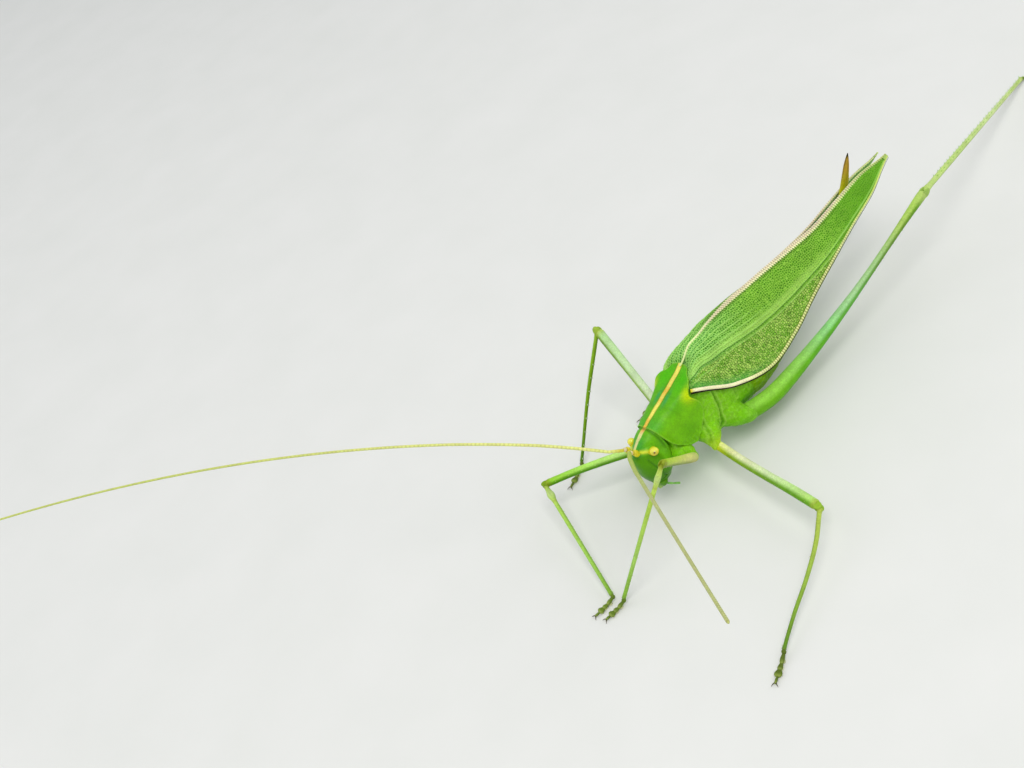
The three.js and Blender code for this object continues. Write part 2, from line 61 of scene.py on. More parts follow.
# ---- frame ----
NOSE_DOWN = 6.74       # degrees
LEAN_RIGHT = 3.4       # degrees
EYE_MIDDLE = np.array([0.0, -9.2, -2.3])     # between the eyes, in the body's frame

BODY_TURN = np.array(
    Matrix.Rotation(math.radians(NOSE_DOWN), 3, "X") @ Matrix.Rotation(math.radians(-LEAN_RIGHT), 3, "Y")
)


def box_middle(node):
    low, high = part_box(node)
    return np.array((low + high) / 2) / MM


BODY_ORIGIN = (box_middle("eye_l") + box_middle("eye_r")) / 2 - BODY_TURN @ EYE_MIDDLE


def to_row(points):
    """Body frame to row frame, both in mm."""
    return np.asarray(points, float) @ BODY_TURN.T + BODY_ORIGIN


def body(forward, left, up):
    """Points of the body's frame from (forward, left, up) numbers or arrays."""
    forward, left, up = np.broadcast_arrays(forward, left, up)
    return np.stack([left, -forward, up], -1).astype(float)


def sided(places, side):
    """Points of the body's frame from (forward, out, up) places on one side, 1 for left and -1 for right."""
    forward, out, up = np.moveaxis(np.asarray(places, float), -1, 0)
    return body(forward, side * out, up)


def places_of(points):
    """forward, left and up of points of the body's frame."""
    return -points[..., 1], points[..., 0], points[..., 2]


CAP_DEPTH = 0.05      # mm, how far from a solid's very end its flat cap may lean
DOME_REACH = math.sin(math.radians(60))     # share of its radius by which a solid's end passes its joint


def node_ends(node, near):
    """The middles of a long CAD node's two end faces in mm, the one nearest to a point first."""
    points = np.array([v.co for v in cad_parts[node].data.vertices]) / MM
    middle = points.mean(0)
    axis = np.linalg.svd(points - middle, full_matrices=False)[2][0]
    along = (points - middle) @ axis
    ends = [points[along < along.min() + CAP_DEPTH].mean(0), points[along > along.max() - CAP_DEPTH].mean(0)]
    return sorted(ends, key=lambda end: np.linalg.norm(end - near))


# ---- camera ----
CAMERA_OFFSET = np.array([94.869, -63.578, 92.762])   # from the body's origin, mm
CAMERA_RIGHT = (0.6443, 0.64926, -0.40417)            # the picture's right, in the row frame
CAMERA_VIEW = (-0.72413, 0.3479, -0.59549)            # the line of sight, in the row frame
LENS = 49.22        # mm
SENSOR = 36.0       # mm, width


def add_camera():
    data = bpy.data.cameras.new("camera")
    data.lens = LENS
    data.sensor_width = SENSOR
    data.clip_start = 0.005
    data.clip_end = 20
    camera = bpy.data.objects.new("camera", data)
    bpy.context.scene.collection.objects.link(camera)
    bpy.context.scene.camera = camera
    right = Vector(CAMERA_RIGHT).normalized()
    back = -Vector(CAMERA_VIEW).normalized()
    up = back.cross(right).normalized()
    right = up.cross(back)
    turn = Matrix((right, up, back)).transposed().to_4x4()
    camera.matrix_world = Matrix.Translation((BODY_ORIGIN + CAMERA_OFFSET) * MM) @ turn


# ---- numbers ----
def curve(values, s):
    """Smooth value at 0..1 of a list of evenly spaced numbers (Catmull-Rom)."""
    values = np.asarray(values, float)
    last = len(values) - 1
    at = np.clip(s, 0, 1) * last
    i = np.minimum(np.floor(at).astype(int), last - 1)
    t = at - i
    a, b, c, d = (values[np.clip(i + k, 0, last)] for k in (-1, 0, 1, 2))
    return 0.5 * (2 * b + (c - a) * t + (2 * a - 5 * b + 4 * c - d) * t**2 + (3 * b - a - 3 * c + d) * t**3)


def knots(pairs, x):
    """Straight-line value at x of a list of (x, value) pairs in rising x."""
    xs, values = zip(*pairs)
    return np.interp(x, xs, values)


def lerp(a, b, t):
    return a + (b - a) * t


def bell(distance, width):
    """1 at no distance, falling smoothly to nothing past about two widths."""
    return np.exp(-((distance / width) ** 2))


def ramp(x, start, end):
    """0 before start, 1 after end, smooth between; start may be above end."""
    t = np.clip((np.asarray(x, float) - start) / (end - start), 0, 1)
    return t * t * (3 - 2 * t)


def unit(vector):
    vector = np.asarray(vector, float)
    return vector / np.linalg.norm(vector, axis=-1, keepdims=True)


def run_along(path):
    """Distance along a path, mm, at each of its points."""
    return np.concatenate([[0], np.cumsum(np.linalg.norm(np.diff(path, axis=0), axis=1))])


def distance_to_line(line_knots, forward, up):
    """Distance in a side view, mm, to a broken line of (forward, up) knots."""
    best = np.full(np.shape(forward), np.inf)
    for (f0, u0), (f1, u1) in zip(line_knots[:-1], line_knots[1:]):
        df, du = f1 - f0, u1 - u0
        t = np.clip(((forward - f0) * df + (up - u0) * du) / (df * df + du * du), 0, 1)
        best = np.minimum(best, np.hypot(forward - f0 - t * df, up - u0 - t * du))
    return best


def distance_to(place, points):
    """Distance of points, mm, from a (forward, out, up) place, on the side where each point is."""
    mirrored = np.stack([np.abs(points[..., 0]), points[..., 1], points[..., 2]], -1)
    return np.linalg.norm(mirrored - sided(place, 1), axis=-1)


# ---- colours ----
def linear(tint):
    """A colour as an array of linear colours."""
    if not isinstance(tint, tuple):
        return np.asarray(tint, float)
    c = np.array(tint, float) / 255
    return np.where(c <= 0.04045, c / 12.92, ((c + 0.055) / 1.055) ** 2.4)


def tints(colours, s):
    """Colour at 0..1 along a list of evenly spread colours."""
    at = np.asarray(s, float) * (len(colours) - 1)
    channels = np.transpose([linear(c) for c in colours])
    return np.stack([np.interp(at, np.arange(len(colours)), channel) for channel in channels], -1)


def mixed(a, b, mask):
    """Colour a turning into colour b where mask is 1; each colour is one or one per point."""
    a, b = linear(a), linear(b)
    return a + (b - a) * np.asarray(mask, float)[..., None]


def coated(tint, *coats):
    """A colour under coats of paint, each a colour and its mask; later coats cover earlier ones."""
    for coat, mask in coats:
        tint = mixed(tint, coat, mask)
    return tint


DARK_GREEN = (52, 104, 10)
BROWN = (86, 58, 18)


# ---- meshes ----
WELD = 0.0005      # mm, points nearer than this are one point


class Shape:
    """Points in mm, faces and colours of one piece, gathered from many parts."""

    def __init__(self):
        self.points = []
        self.faces = []
        self.tints = []
        self.count = 0

    def sheet(self, grid, tint=(0, 0, 0), wrap=False):
        """A grid of points (rows, columns, 3) as quads; wrap closes the columns into a ring."""
        rows, columns = grid.shape[:2]
        index = self.count + np.arange(rows * columns).reshape(rows, columns)
        if wrap:
            index = np.hstack([index, index[:, :1]])
        corners = [index[:-1, :-1], index[:-1, 1:], index[1:, 1:], index[1:, :-1]]
        self.faces += np.stack(corners, -1).reshape(-1, 4).tolist()
        self.points.append(grid.reshape(-1, 3))
        self.tints.append(spread(tint, grid.shape).reshape(-1, 3))
        self.count += rows * columns

    def tube(self, grid, tint=(0, 0, 0)):
        """A closed solid from rings of points, each end gathered to its own middle."""
        caps = [np.repeat(end.mean(1, keepdims=True), grid.shape[1], 1) for end in (grid[:1], grid[-1:])]
        tint = spread(tint, grid.shape)
        closed = np.concatenate([caps[0], grid, caps[1]])
        self.sheet(closed, np.concatenate([tint[:1], tint, tint[-1:]]), wrap=True)

    def mesh(self, name):
        """The painted mesh, still in mm."""
        mesh = bpy.data.meshes.new(name)
        mesh.from_pydata(np.concatenate(self.points).tolist(), [], self.faces)
        paint_points(mesh, "tint", np.concatenate(self.tints))
        weld(mesh)
        mesh.shade_smooth()
        return mesh


def spread(tint, shape):
    """A colour given once, per row or per point, as one colour per point of a grid."""
    tint = linear(tint)
    if tint.ndim == 2:
        tint = tint[:, None]
    return np.broadcast_to(tint, shape)


def paint_points(mesh, key, values):
    """Stores one colour or one vector per point, for the materials to read."""
    layer = mesh.attributes.get(key) or mesh.attributes.new(key, "FLOAT_VECTOR", "POINT")
    layer.data.foreach_set("vector", np.ascontiguousarray(values, np.float32).ravel())


def points_of(mesh):
    points = np.zeros(len(mesh.vertices) * 3, np.float32)
    mesh.vertices.foreach_get("co", points)
    return points.reshape(-1, 3).astype(float)


def set_points(mesh, points):
    mesh.vertices.foreach_set("co", np.ascontiguousarray(points, np.float32).ravel())
    mesh.update()


def lifted(mesh, lift):
    """The mesh's points moved out of its surface by a number of mm each."""
    normals = np.zeros(len(mesh.vertices) * 3, np.float32)
    mesh.vertex_normals.foreach_get("vector", normals)
    return points_of(mesh) + normals.reshape(-1, 3).astype(float) * lift[:, None]


def weld(mesh):
    """Joins points that lie on each other and turns every face outward."""
    solid = bmesh.new()
    solid.from_mesh(mesh)
    bmesh.ops.remove_doubles(solid, verts=solid.verts, dist=WELD)
    bmesh.ops.dissolve_degenerate(solid, edges=solid.edges, dist=WELD / 2)
    bmesh.ops.recalc_face_normals(solid, faces=solid.faces)
    solid.to_mesh(mesh)
    solid.free()


def fused(shape, name, voxel, smoothing):
    """One skin round all the parts of a shape, with no seam between them."""
    mesh = shape.mesh(name)
    helper = bpy.data.objects.new(name, mesh)
    bpy.context.scene.collection.objects.link(helper)
    remesh = helper.modifiers.new("skin", "REMESH")
    remesh.mode = "VOXEL"
    remesh.voxel_size = voxel
    smooth = helper.modifiers.new("smooth", "SMOOTH")
    smooth.factor = 0.5
    smooth.iterations = smoothing
    graph = bpy.context.evaluated_depsgraph_get()
    result = bpy.data.meshes.new_from_object(helper.evaluated_get(graph))
    bpy.data.objects.remove(helper)
    bpy.data.meshes.remove(mesh)
    result.shade_smooth()
    return result


def place(mesh, name, material, slot, nodes, in_body=True):
    """The finished piece: its points go from mm to the row frame in metres, and it stands for CAD nodes."""
    points = points_of(mesh)
    paint_points(mesh, "place", points)
    set_points(mesh, (to_row(points) if in_body else points) * MM)
    mesh.materials.clear()
    mesh.materials.append(material)
    piece = bpy.data.objects.new(name, mesh)
    bpy.context.scene.collection.objects.link(piece)
    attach(piece, "root")
    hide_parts(*nodes)


def around(sides):
    """How high each point of a round ring stands, from -1 to 1."""
    return np.sin(TAU * np.arange(sides) / sides)


def rings(path, across, over, half_width, half_height, sides=24, fullness=1.0):
    """Rings of points round a path. across and over are one direction, or one per point of the path."""
    angle = TAU * np.arange(sides) / sides
    c, s = (np.sign(f(angle)) * np.abs(f(angle)) ** (1 / fullness) for f in (np.cos, np.sin))
    path = np.asarray(path, float)
    half_width = np.broadcast_to(half_width, len(path))[:, None, None]
    half_height = np.broadcast_to(half_height, len(path))[:, None, None]
    across = np.broadcast_to(across, path.shape)[:, None]
    over = np.broadcast_to(over, path.shape)[:, None]
    return path[:, None] + c[None, :, None] * half_width * across + s[None, :, None] * half_height * over


def rod(path, radius, sides=10, over=(0, 0, 1)):
    """Round rings along a bent path, turned by one steady direction."""
    path = np.asarray(path, float)
    along = unit(np.gradient(path, axis=0))
    across = unit(np.cross(along, over))
    return rings(path, across, np.cross(across, along), radius, radius, sides)


def line(start, end, count):
    return lerp(np.asarray(start, float), np.asarray(end, float), np.linspace(0, 1, count)[:, None])


POLE = 0.02     # radians, how far from its pole an ellipsoid's first ring lies


def ellipsoid(shape, centre, radii, axes=np.eye(3), rows=12, sides=16, tint=(0, 0, 0)):
    """An ellipsoid whose long way is along the last of its three axes."""
    angle = np.linspace(POLE, math.pi - POLE, rows)
    path = np.asarray(centre) - np.cos(angle)[:, None] * radii[2] * axes[2]
    width = np.sin(angle)
    shape.tube(rings(path, axes[0], axes[1], width * radii[0], width * radii[1], sides), tint)


def chain(shape, balls, count=16, sides=22):
    """A bent limb with round ends through (forward, left, up, radius) stations."""
    balls = np.asarray(balls, float)
    s = np.linspace(0, 1, count)
    path = body(*(curve(balls[:, k], s) for k in range(3)))
    radius = curve(balls[:, 3], s)
    dome = np.radians([25, 50, 75, 88])
    ends = []
    for at, toward in ((0, 1), (-1, -2)):
        axis = unit(path[at] - path[toward])
        ends.append((path[at] + np.sin(dome)[:, None] * radius[at] * axis, np.cos(dome) * radius[at]))
    path = np.concatenate([ends[0][0][::-1], path, ends[1][0]])
    radius = np.concatenate([ends[0][1][::-1], radius, ends[1][1]])
    steady = unit(path[-1] - path[0])
    side = unit(np.cross(steady, (0, 1, 0)))
    shape.tube(rings(path, side, np.cross(side, steady), radius, radius, sides))


def slab(shape, outer, inner, tint):
    """A thin closed plate between two grids of points."""
    shape.sheet(outer, tint)
    shape.sheet(inner, tint)
    for row in (0, -1):
        shape.sheet(np.stack([outer[row], inner[row]]), np.stack([tint[row], tint[row]]))
    for column in (0, -1):
        shape.sheet(np.stack([outer[:, column], inner[:, column]]), np.stack([tint[:, column]] * 2))


# ---- materials ----
class Paint:
    """A material and short ways to wire its nodes."""

    def __init__(self, name):
        self.material = bpy.data.materials.new(name)
        self.material.use_nodes = True
        self.tree = self.material.node_tree
        self.shader = next(n for n in self.tree.nodes if n.type == "BSDF_PRINCIPLED")

    def node(self, kind, inputs=None, **settings):
        node = self.tree.nodes.new(kind)
        for key, value in settings.items():
            setattr(node, key, value)
        for key, value in (inputs or {}).items():
            self.put(node.inputs[key], value)
        return node

    def put(self, socket, value):
        if isinstance(value, bpy.types.NodeSocket):
            self.tree.links.new(value, socket)
        elif isinstance(value, np.ndarray) and socket.type == "RGBA":
            socket.default_value = (*value, 1)
        else:
            socket.default_value = value

    def set(self, **inputs):
        """Sets the shader's inputs; words are joined by underscores."""
        for key, value in inputs.items():
            self.put(self.shader.inputs[key.replace("_", " ")], value)

    def attribute(self, name):
        return self.node("ShaderNodeAttribute", attribute_name=name).outputs["Vector"]

    def math(self, operation, a, b):
        return self.node("ShaderNodeMath", {0: a, 1: b}, operation=operation).outputs[0]

    def ramp(self, value, start, end, low=0.0, high=1.0):
        settings = {"Value": value, "From Min": start, "From Max": end, "To Min": low, "To Max": high}
        return self.node("ShaderNodeMapRange", settings, interpolation_type="SMOOTHSTEP").outputs["Result"]

    def mix(self, factor, a, b):
        node = self.node("ShaderNodeMix", data_type="RGBA")
        for socket, value in zip((node.inputs[0], node.inputs[6], node.inputs[7]), (factor, a, b)):
            self.put(socket, value)
        return node.outputs[2]

    def noise(self, vector, scale, detail):
        inputs = {"Vector": vector, "Scale": scale, "Detail": detail}
        return self.node("ShaderNodeTexNoise", inputs).outputs["Fac"]

    def cells(self, vector, scale, randomness=1.0):
        """Distance from the middle of scattered cells."""
        inputs = {"Vector": vector, "Scale": scale, "Randomness": randomness}
        return self.node("ShaderNodeTexVoronoi", inputs).outputs["Distance"]

    def mottled(self, tint, broad, fine, share):
        """A tint made lighter and darker in patches, by a share of itself."""
        light = self.ramp(self.math("ADD", broad, fine), 0.75, 1.25, 1 - share, 1 + share)
        return self.node("ShaderNodeVectorMath", {0: tint, "Scale": light}, operation="SCALE").outputs[0]

    def bump(self, height, depth, strength):
        """height 0..1 stands depth mm proud."""
        inputs = {"Height": height, "Distance": depth * MM, "Strength": strength}
        self.set(Normal=self.node("ShaderNodeBump", inputs).outputs["Normal"])


def shell_material(name, roughness, grain, grain_depth, mottle, sheer):
    """Painted chitin: the piece's own tint, mottled, with a finely granular surface."""
    paint = Paint(name)
    where = paint.attribute("place")
    fine = paint.noise(where, 5.0, 3.0)
    shade = paint.mottled(paint.attribute("tint"), paint.noise(where, 0.9, 3.0), fine, mottle)
    granule = paint.cells(where, grain)
    dimple = paint.math("MULTIPLY", paint.ramp(granule, 0.15, 0.6), 0.16)
    paint.set(Base_Color=paint.mix(dimple, shade, np.array([0.02, 0.10, 0.005])), Roughness=roughness)
    paint.set(Subsurface_Weight=sheer, Subsurface_Radius=(0.6, 1.0, 0.25), Subsurface_Scale=0.35 * MM)
    paint.set(Specular_IOR_Level=0.15)
    paint.bump(paint.math("ADD", paint.math("SUBTRACT", 1.0, granule), fine), grain_depth, 0.8)
    return paint.material


# ---- trunk ----
# as in the solids, mm: lists run evenly from front to back
THORAX = {
    "from": 3.5, "to": -3.2, "fullness": 1.28,
    "top": [-0.8, -0.4, -0.55, -1.05],
    "bottom": [-8.8, -9.4, -9.85, -9.98],
    "width": [2.2, 2.42, 2.45, 2.48],
}
PROTHORAX = {
    "from": 6.9, "to": 3.0, "fullness": 1.15,
    "top": [-1.75, -1.45, -1.25],
    "bottom": [-6.5, -7.6, -8.4],
    "width": [1.4, 1.62, 1.78],
}
ABDOMEN = {
    "from": -2.8, "to": -25.4, "fullness": 1.27,
    "top": [-1.35, -1.55, -2.0, -2.65, -3.35, -4.1, -5.0, -5.9],
    "bottom": [-9.95, -10.6, -10.5, -9.8, -9.05, -8.35, -7.8, -7.3],
    "width": [2.47, 2.82, 2.72, 2.38, 1.98, 1.6, 1.1, 0.55],
}
HIPS = {"fore": (5.8, 2.6, -7.7), "middle": (3.35, 2.9, -8.3), "hind": (-1.9, 3.6, -9.5)}
HIP_TINTS = {"fore": (156, 218, 56), "middle": (204, 230, 44), "hind": (134, 204, 50)}
# coxae of the fore, middle and hind legs, from the trunk out to the hip, as (forward, out, up, radius)
COXAE = [
    [(6.7, 0.6, -5.7, 1.0), (6.3, 1.3, -6.4, 1.05), (6.0, 1.75, -7.1, 0.85), (5.95, 2.1, -7.4, 0.52)],
    [(2.9, 1.2, -6.4, 1.4), (2.8, 1.9, -7.1, 1.35), (2.95, 2.4, -7.7, 1.08), (3.3, 2.75, -8.1, 0.72)],
    [(0.0, 1.3, -7.6, 1.5), (-0.8, 2.3, -8.35, 1.35), (-1.3, 2.85, -8.85, 1.12), (-1.75, 3.2, -9.2, 0.92)],
]
# pleura: the muscle-filled side plates above the middle and hind legs, (forward, out, up) and radii
SWELLINGS = [
    ((2.3, 1.35, -5.6), (1.2, 1.5, 2.9)),
    ((-0.6, 1.3, -5.6), (1.42, 1.55, 3.0)),
    ((-3.0, 1.1, -5.4), (1.3, 1.3, 2.8)),
]
# sutures of the side plates as (forward, up) lines, each with how strong it is against a full groove
FULL_GROOVE = 0.14
SUTURES = [
    ([(-0.2, -2.6), (0.17, -4.28), (0.4, -5.8), (1.0, -7.4), (1.9, -9.0)], 0.12),
    ([(2.6, -3.4), (2.9, -4.7), (3.15, -5.9), (3.5, -6.8), (3.8, -7.4)], 0.09),
    ([(-2.2, -3.4), (-2.3, -5.2), (-2.1, -6.9)], 0.05),
    ([(-4.0, -3.0), (-4.1, -5.2), (-3.9, -7.4)], 0.05),
]
CERCUS = [(-24.6, 0.9, -6.5), (-26.9, 1.0, -6.0)]
CERCUS_RADII = [0.3, 0.27, 0.22, 0.16]
SEGMENT_LENGTH = 2.35       # mm, one ring of the abdomen
ABDOMEN_START = -4.3        # where its first ring starts, forward of the origin
TRUNK_VOXEL = 0.1           # mm
WING_GAP = 0.4              # mm, how far the trunk stays inside a folded wing


def trunk_rings(part, count, sides=40):
    s = np.linspace(0, 1, count)
    high, low = curve(part["top"], s), curve(part["bottom"], s)
    path = body(lerp(part["from"], part["to"], s), 0, (high + low) / 2)
    width = curve(part["width"], s)
    return rings(path, (1, 0, 0), UPWARD, width, (high - low) / 2, sides, part["fullness"])


def trunk_shape():
    shape = Shape()
    for part, count in ((THORAX, 16), (PROTHORAX, 12), (ABDOMEN, 48)):
        shape.tube(trunk_rings(part, count))
    for side in SIDES.values():
        for balls in COXAE:
            chain(shape, np.array(balls) * (1, side, 1, 1))
        for middle, radii in SWELLINGS:
            ellipsoid(shape, sided(middle, side), radii)
        shape.tube(rod(line(*sided(CERCUS, side), 8), curve(CERCUS_RADII, np.linspace(0, 1, 8)), 12))
    return shape


def trunk_marks(points):
    """Where the trunk's marks lie, each a mask with one number per point."""
    forward, left, up = places_of(points)
    side = ramp(np.abs(left), 0.6, 1.4)
    ring = (ABDOMEN_START - forward) / SEGMENT_LENGTH
    sutures = [(distance_to_line(knot_line, forward, up), weight) for knot_line, weight in SUTURES]
    wrinkle = np.sin(2.1 * forward + 3.2 * up) * np.sin(2.7 * up - 1.3 * forward + left)
    pucker = np.sin(7.1 * forward - 4.3 * up + 2 * wrinkle) * np.sin(6.3 * up + 3.1 * forward)
    return SimpleNamespace(
        side=side,
        behind=ramp(forward, ABDOMEN_START + 0.4, ABDOMEN_START - 0.4),
        fold=ring - np.floor(ring),
        grooves=[bell(distance, 0.1) * side * weight / FULL_GROOVE for distance, weight in sutures],
        ridges=[bell(distance - 0.24, 0.1) * side * weight / FULL_GROOVE for distance, weight in sutures],
        wrinkle=wrinkle,
        pucker=pucker,
    )


def trunk_lift(marks):
    """How far the marks stand out of the skin, mm: overlapping rings, sutures and puckers."""
    edge = 0.1 * bell(marks.fold - 1, 0.1) + 0.1 * bell(marks.fold, 0.05)
    rings_lift = marks.behind * (0.08 * marks.fold - edge - 0.06)
    sutures = 0.05 * sum(marks.ridges) - 0.13 * sum(marks.grooves)
    return rings_lift + sutures + (0.025 * marks.wrinkle + 0.03 * marks.pucker) * marks.side


def trunk_tint(points, marks):
    forward, left, up = places_of(points)
    behind, side = marks.behind, marks.side
    belly = mixed((142, 188, 10), (130, 166, 8), ramp(forward, -6.0, -12.0))
    tint = coated(
        mixed((132, 206, 12), (112, 190, 6), ramp(up, -6.5, -9.0)),
        ((126, 196, 40), 0.6 * ramp(forward, 0.0, -2.6) * ramp(up, -8.6, -5.5)),
        (belly, 0.85 * behind * ramp(up, -4.0, -7.5)),
        ((146, 200, 104), behind * ramp(np.abs(left), 1.2, 0.4) * ramp(up, -6.0, -4.0)),
        ((80, 140, 8), behind * 0.35 * bell(marks.fold, 0.09)),
        ((54, 116, 0), 0.75 * np.max(marks.grooves, axis=0)),
        ((176, 220, 96), 0.6 * np.max(marks.ridges, axis=0)),
        ((150, 212, 60), 0.45 * bell(marks.wrinkle - 1, 0.5) * side),
        ((156, 216, 84), 0.3 * ramp(marks.pucker, 0.2, 0.9) * side),
    )
    for kind, hip in HIPS.items():
        tint = mixed(tint, HIP_TINTS[kind], 0.8 * bell(distance_to(hip, points), 1.1))
    return tint


def make_trunk():
    mesh = fused(trunk_shape(), "trunk", TRUNK_VOXEL, smoothing=6)
    smooth_points = points_of(mesh)
    forward, _, up = places_of(smooth_points)
    marks = trunk_marks(smooth_points)
    points = lifted(mesh, trunk_lift(marks))
    for suffix, side in SIDES.items():
        reach = under_wing(suffix, forward, up) - WING_GAP
        points[:, 0] = np.where(points[:, 0] * side > reach, side * reach, points[:, 0])
    set_points(mesh, points)
    paint_points(mesh, "tint", trunk_tint(smooth_points, marks))
    nodes = ["thorax", "prothorax", "abdomen", "abdomen_end", "cercus_l", "cercus_r"]
    nodes += [f"coxa_{kind}_{suffix}" for kind in HIPS for suffix in SIDES]
    material = shell_material("trunk_green", 0.5, 7.0, 0.014, 0.14, 0.18)
    place(mesh, "trunk_skin", material, "body_green", nodes)


# ---- pronotum ----
SHIELD = {
    "from": 7.9, "to": -0.8, "fullness": [1.4, 1.5, 1.8, 2.7, 3.6],
    "top": [-0.95, -0.75, -0.45, -0.1, 0.4], "bottom": [-5.2, -7.0, -8.0, -8.0, -8.0],
    "width": [1.83, 2.15, 2.54, 3.0, 3.2],
}
SHIELD_FRONT = 7.62         # its foremost and hindmost places, forward of the origin
SHIELD_REAR = -0.79
SHIELD_MIDDLE_UP = -3.5     # a height inside its arch
# front and hind margin of the plate in a side view, as (up, forward)
SHIELD_FORE_MARGIN = [
    (-6.5, 4.6), (-6.35, 4.9), (-6.1, 5.25), (-5.7, 5.75), (-5.05, 6.35), (-4.3, 6.85), (-3.4, 7.22),
    (-2.4, 7.47), (-1.2, 7.62),
]
SHIELD_HIND_MARGIN = [
    (-6.5, 4.6), (-6.3, 4.4), (-5.8, 4.02), (-5.27, 3.44), (-4.6, 2.88), (-3.85, 2.39), (-3.4, 2.2),
    (-2.97, 2.13), (-2.5, 2.14), (-2.13, 2.22), (-1.68, 2.42), (-1.3, 2.6), (-1.05, 2.56), (-0.8, 2.35),
    (-0.32, 1.67), (-0.03, 0.99), (0.1, 0.6), (0.2, 0.27), (0.3, 0.1), (0.42, -0.1),
]
SHIELD_POINT = 0.25         # mm, how far the middle of the hind margin reaches past its sides
SHIELD_SHEET = 0.25         # mm, from the smooth shield's surface to its inner face
SHIELD_ROWS = 150
SHIELD_COLUMNS = 110
STRIPE_HALF = [(-1, 0.25), (1.5, 0.27), (5.0, 0.26), (7.6, 0.2)]    # half width at places forward, mm


def shield_point(forward, phi):
    """Outer surface of the pronotum at an angle up from its middle height; 90 degrees is its crest."""
    s = (SHIELD["from"] - forward) / (SHIELD["from"] - SHIELD["to"])
    high, low = curve(SHIELD["top"], s), curve(SHIELD["bottom"], s)
    power = 2 * curve(SHIELD["fullness"], s)
    half_width, half_height = curve(SHIELD["width"], s), (high - low) / 2
    cos, sin = np.maximum(np.cos(phi), 1e-6), np.sin(phi)
    reach = ((cos / half_width) ** power + (np.abs(sin) / half_height) ** power) ** (-1 / power)
    return body(forward, reach * cos, reach * sin + (high + low) / 2)


def shield_limits(phi):
    """Foremost and hindmost place of the plate along one line of constant angle, or None."""
    forward = np.linspace(SHIELD_FRONT, SHIELD_REAR, 1600)
    _, out, up = places_of(shield_point(forward, phi))
    hind = knots(SHIELD_HIND_MARGIN, up) - SHIELD_POINT * ramp(out, 1.7, 0.2) * ramp(up, -0.2, 0.1)
    inside = (forward < knots(SHIELD_FORE_MARGIN, up)) & (forward > hind) & (up > SHIELD_FORE_MARGIN[0][0])
    where = forward[inside]
    return (where[0], where[-1]) if len(where) else None


def shield_grid():
    """Points all over the plate, evenly spaced along its margins, and each one's distance from a margin."""
    angles = np.radians(np.linspace(-80, 90, 681))
    lowest = next(angle for angle in angles if shield_limits(angle) is not None)
    phis = np.linspace(lowest, math.pi / 2, 1500)
    limits = np.array([shield_limits(phi) for phi in phis])
    run = np.zeros(len(phis))
    for margin_line in limits.T:
        steps = np.linalg.norm(np.diff(shield_point(margin_line, phis), axis=0), axis=1)
        run[1:] += np.cumsum(np.minimum(steps, 0.05))
    even = np.linspace(0, run[-1], SHIELD_COLUMNS)
    phis = np.interp(even, run, phis)
    front, rear = (np.interp(even, run, margin_line)[None] for margin_line in limits.T)
    forward = lerp(front, rear, np.linspace(0, 1, SHIELD_ROWS)[:, None])
    half = shield_point(forward, np.broadcast_to(phis, forward.shape))
    margin = np.minimum(np.minimum(front - forward, forward - rear), (phis - lowest) * 3.0)
    mirrored = half[:, -2::-1] * (-1, 1, 1)
    return np.concatenate([half, mirrored], 1), np.concatenate([margin, margin[:, -2::-1]], 1)


def outward_normals(grid):
    """Directions at right angles to the plate's surface, away from the middle of its arch."""
    normal = np.cross(np.gradient(grid, axis=1), np.gradient(grid, axis=0))
    normal = normal / np.maximum(np.linalg.norm(normal, axis=-1, keepdims=True), 1e-12)
    forward, _, _ = places_of(grid)
    return normal * np.sign((normal * (grid - body(forward, 0, SHIELD_MIDDLE_UP))).sum(-1, keepdims=True))


def shield_marks(grid):
    forward, left, up = places_of(grid)
    out = np.abs(left)
    return SimpleNamespace(
        furrow=bell(forward - 5.15 + 0.22 * out, 0.2) * ramp(out, 0.25, 0.7) * ramp(up, -3.6, -1.8),
        chevron=bell(forward - 3.0 - 0.55 * out, 0.16) * ramp(out, 0.2, 0.5) * ramp(out, 1.6, 1.0),
        shoulder=ramp(out, 1.5, 2.5) * ramp(up, -3.2, -1.0) * bell(forward - 1.3, 1.3),
        speckle=np.sin(9.0 * forward + 5.0 * up) * np.sin(8.0 * up - 4.0 * forward),
        past_stripe=out - knots(STRIPE_HALF, forward),
    )


def shield_lift(grid, margin, marks):
    """How far the plate's relief stands out of the smooth shield, mm."""
    forward, left, up = places_of(grid)
    lift = 0.05 * bell(margin - 0.07, 0.09) - 0.05
    lift += 0.3 * marks.shoulder - 0.04 * marks.furrow - 0.03 * marks.chevron
    lift -= 0.08 * bell(forward - 4.9, 1.0) * bell(up + 3.3, 1.0)
    lift -= 0.03 * bell(marks.past_stripe - 0.12, 0.08)
    lift -= 0.14 * ramp(forward, 6.6, 7.6)
    lift += 0.03 * np.sin(2.3 * forward + 1.9 * up) * np.sin(3.1 * up - forward)
    lift += 0.03 * marks.speckle * ramp(up, -4.4, -5.6)
    lift += 0.06 * bell(np.abs(left) - 1.75, 0.35) * bell(forward - 4.6, 2.2) * ramp(up, -2.6, -1.2)
    return lift


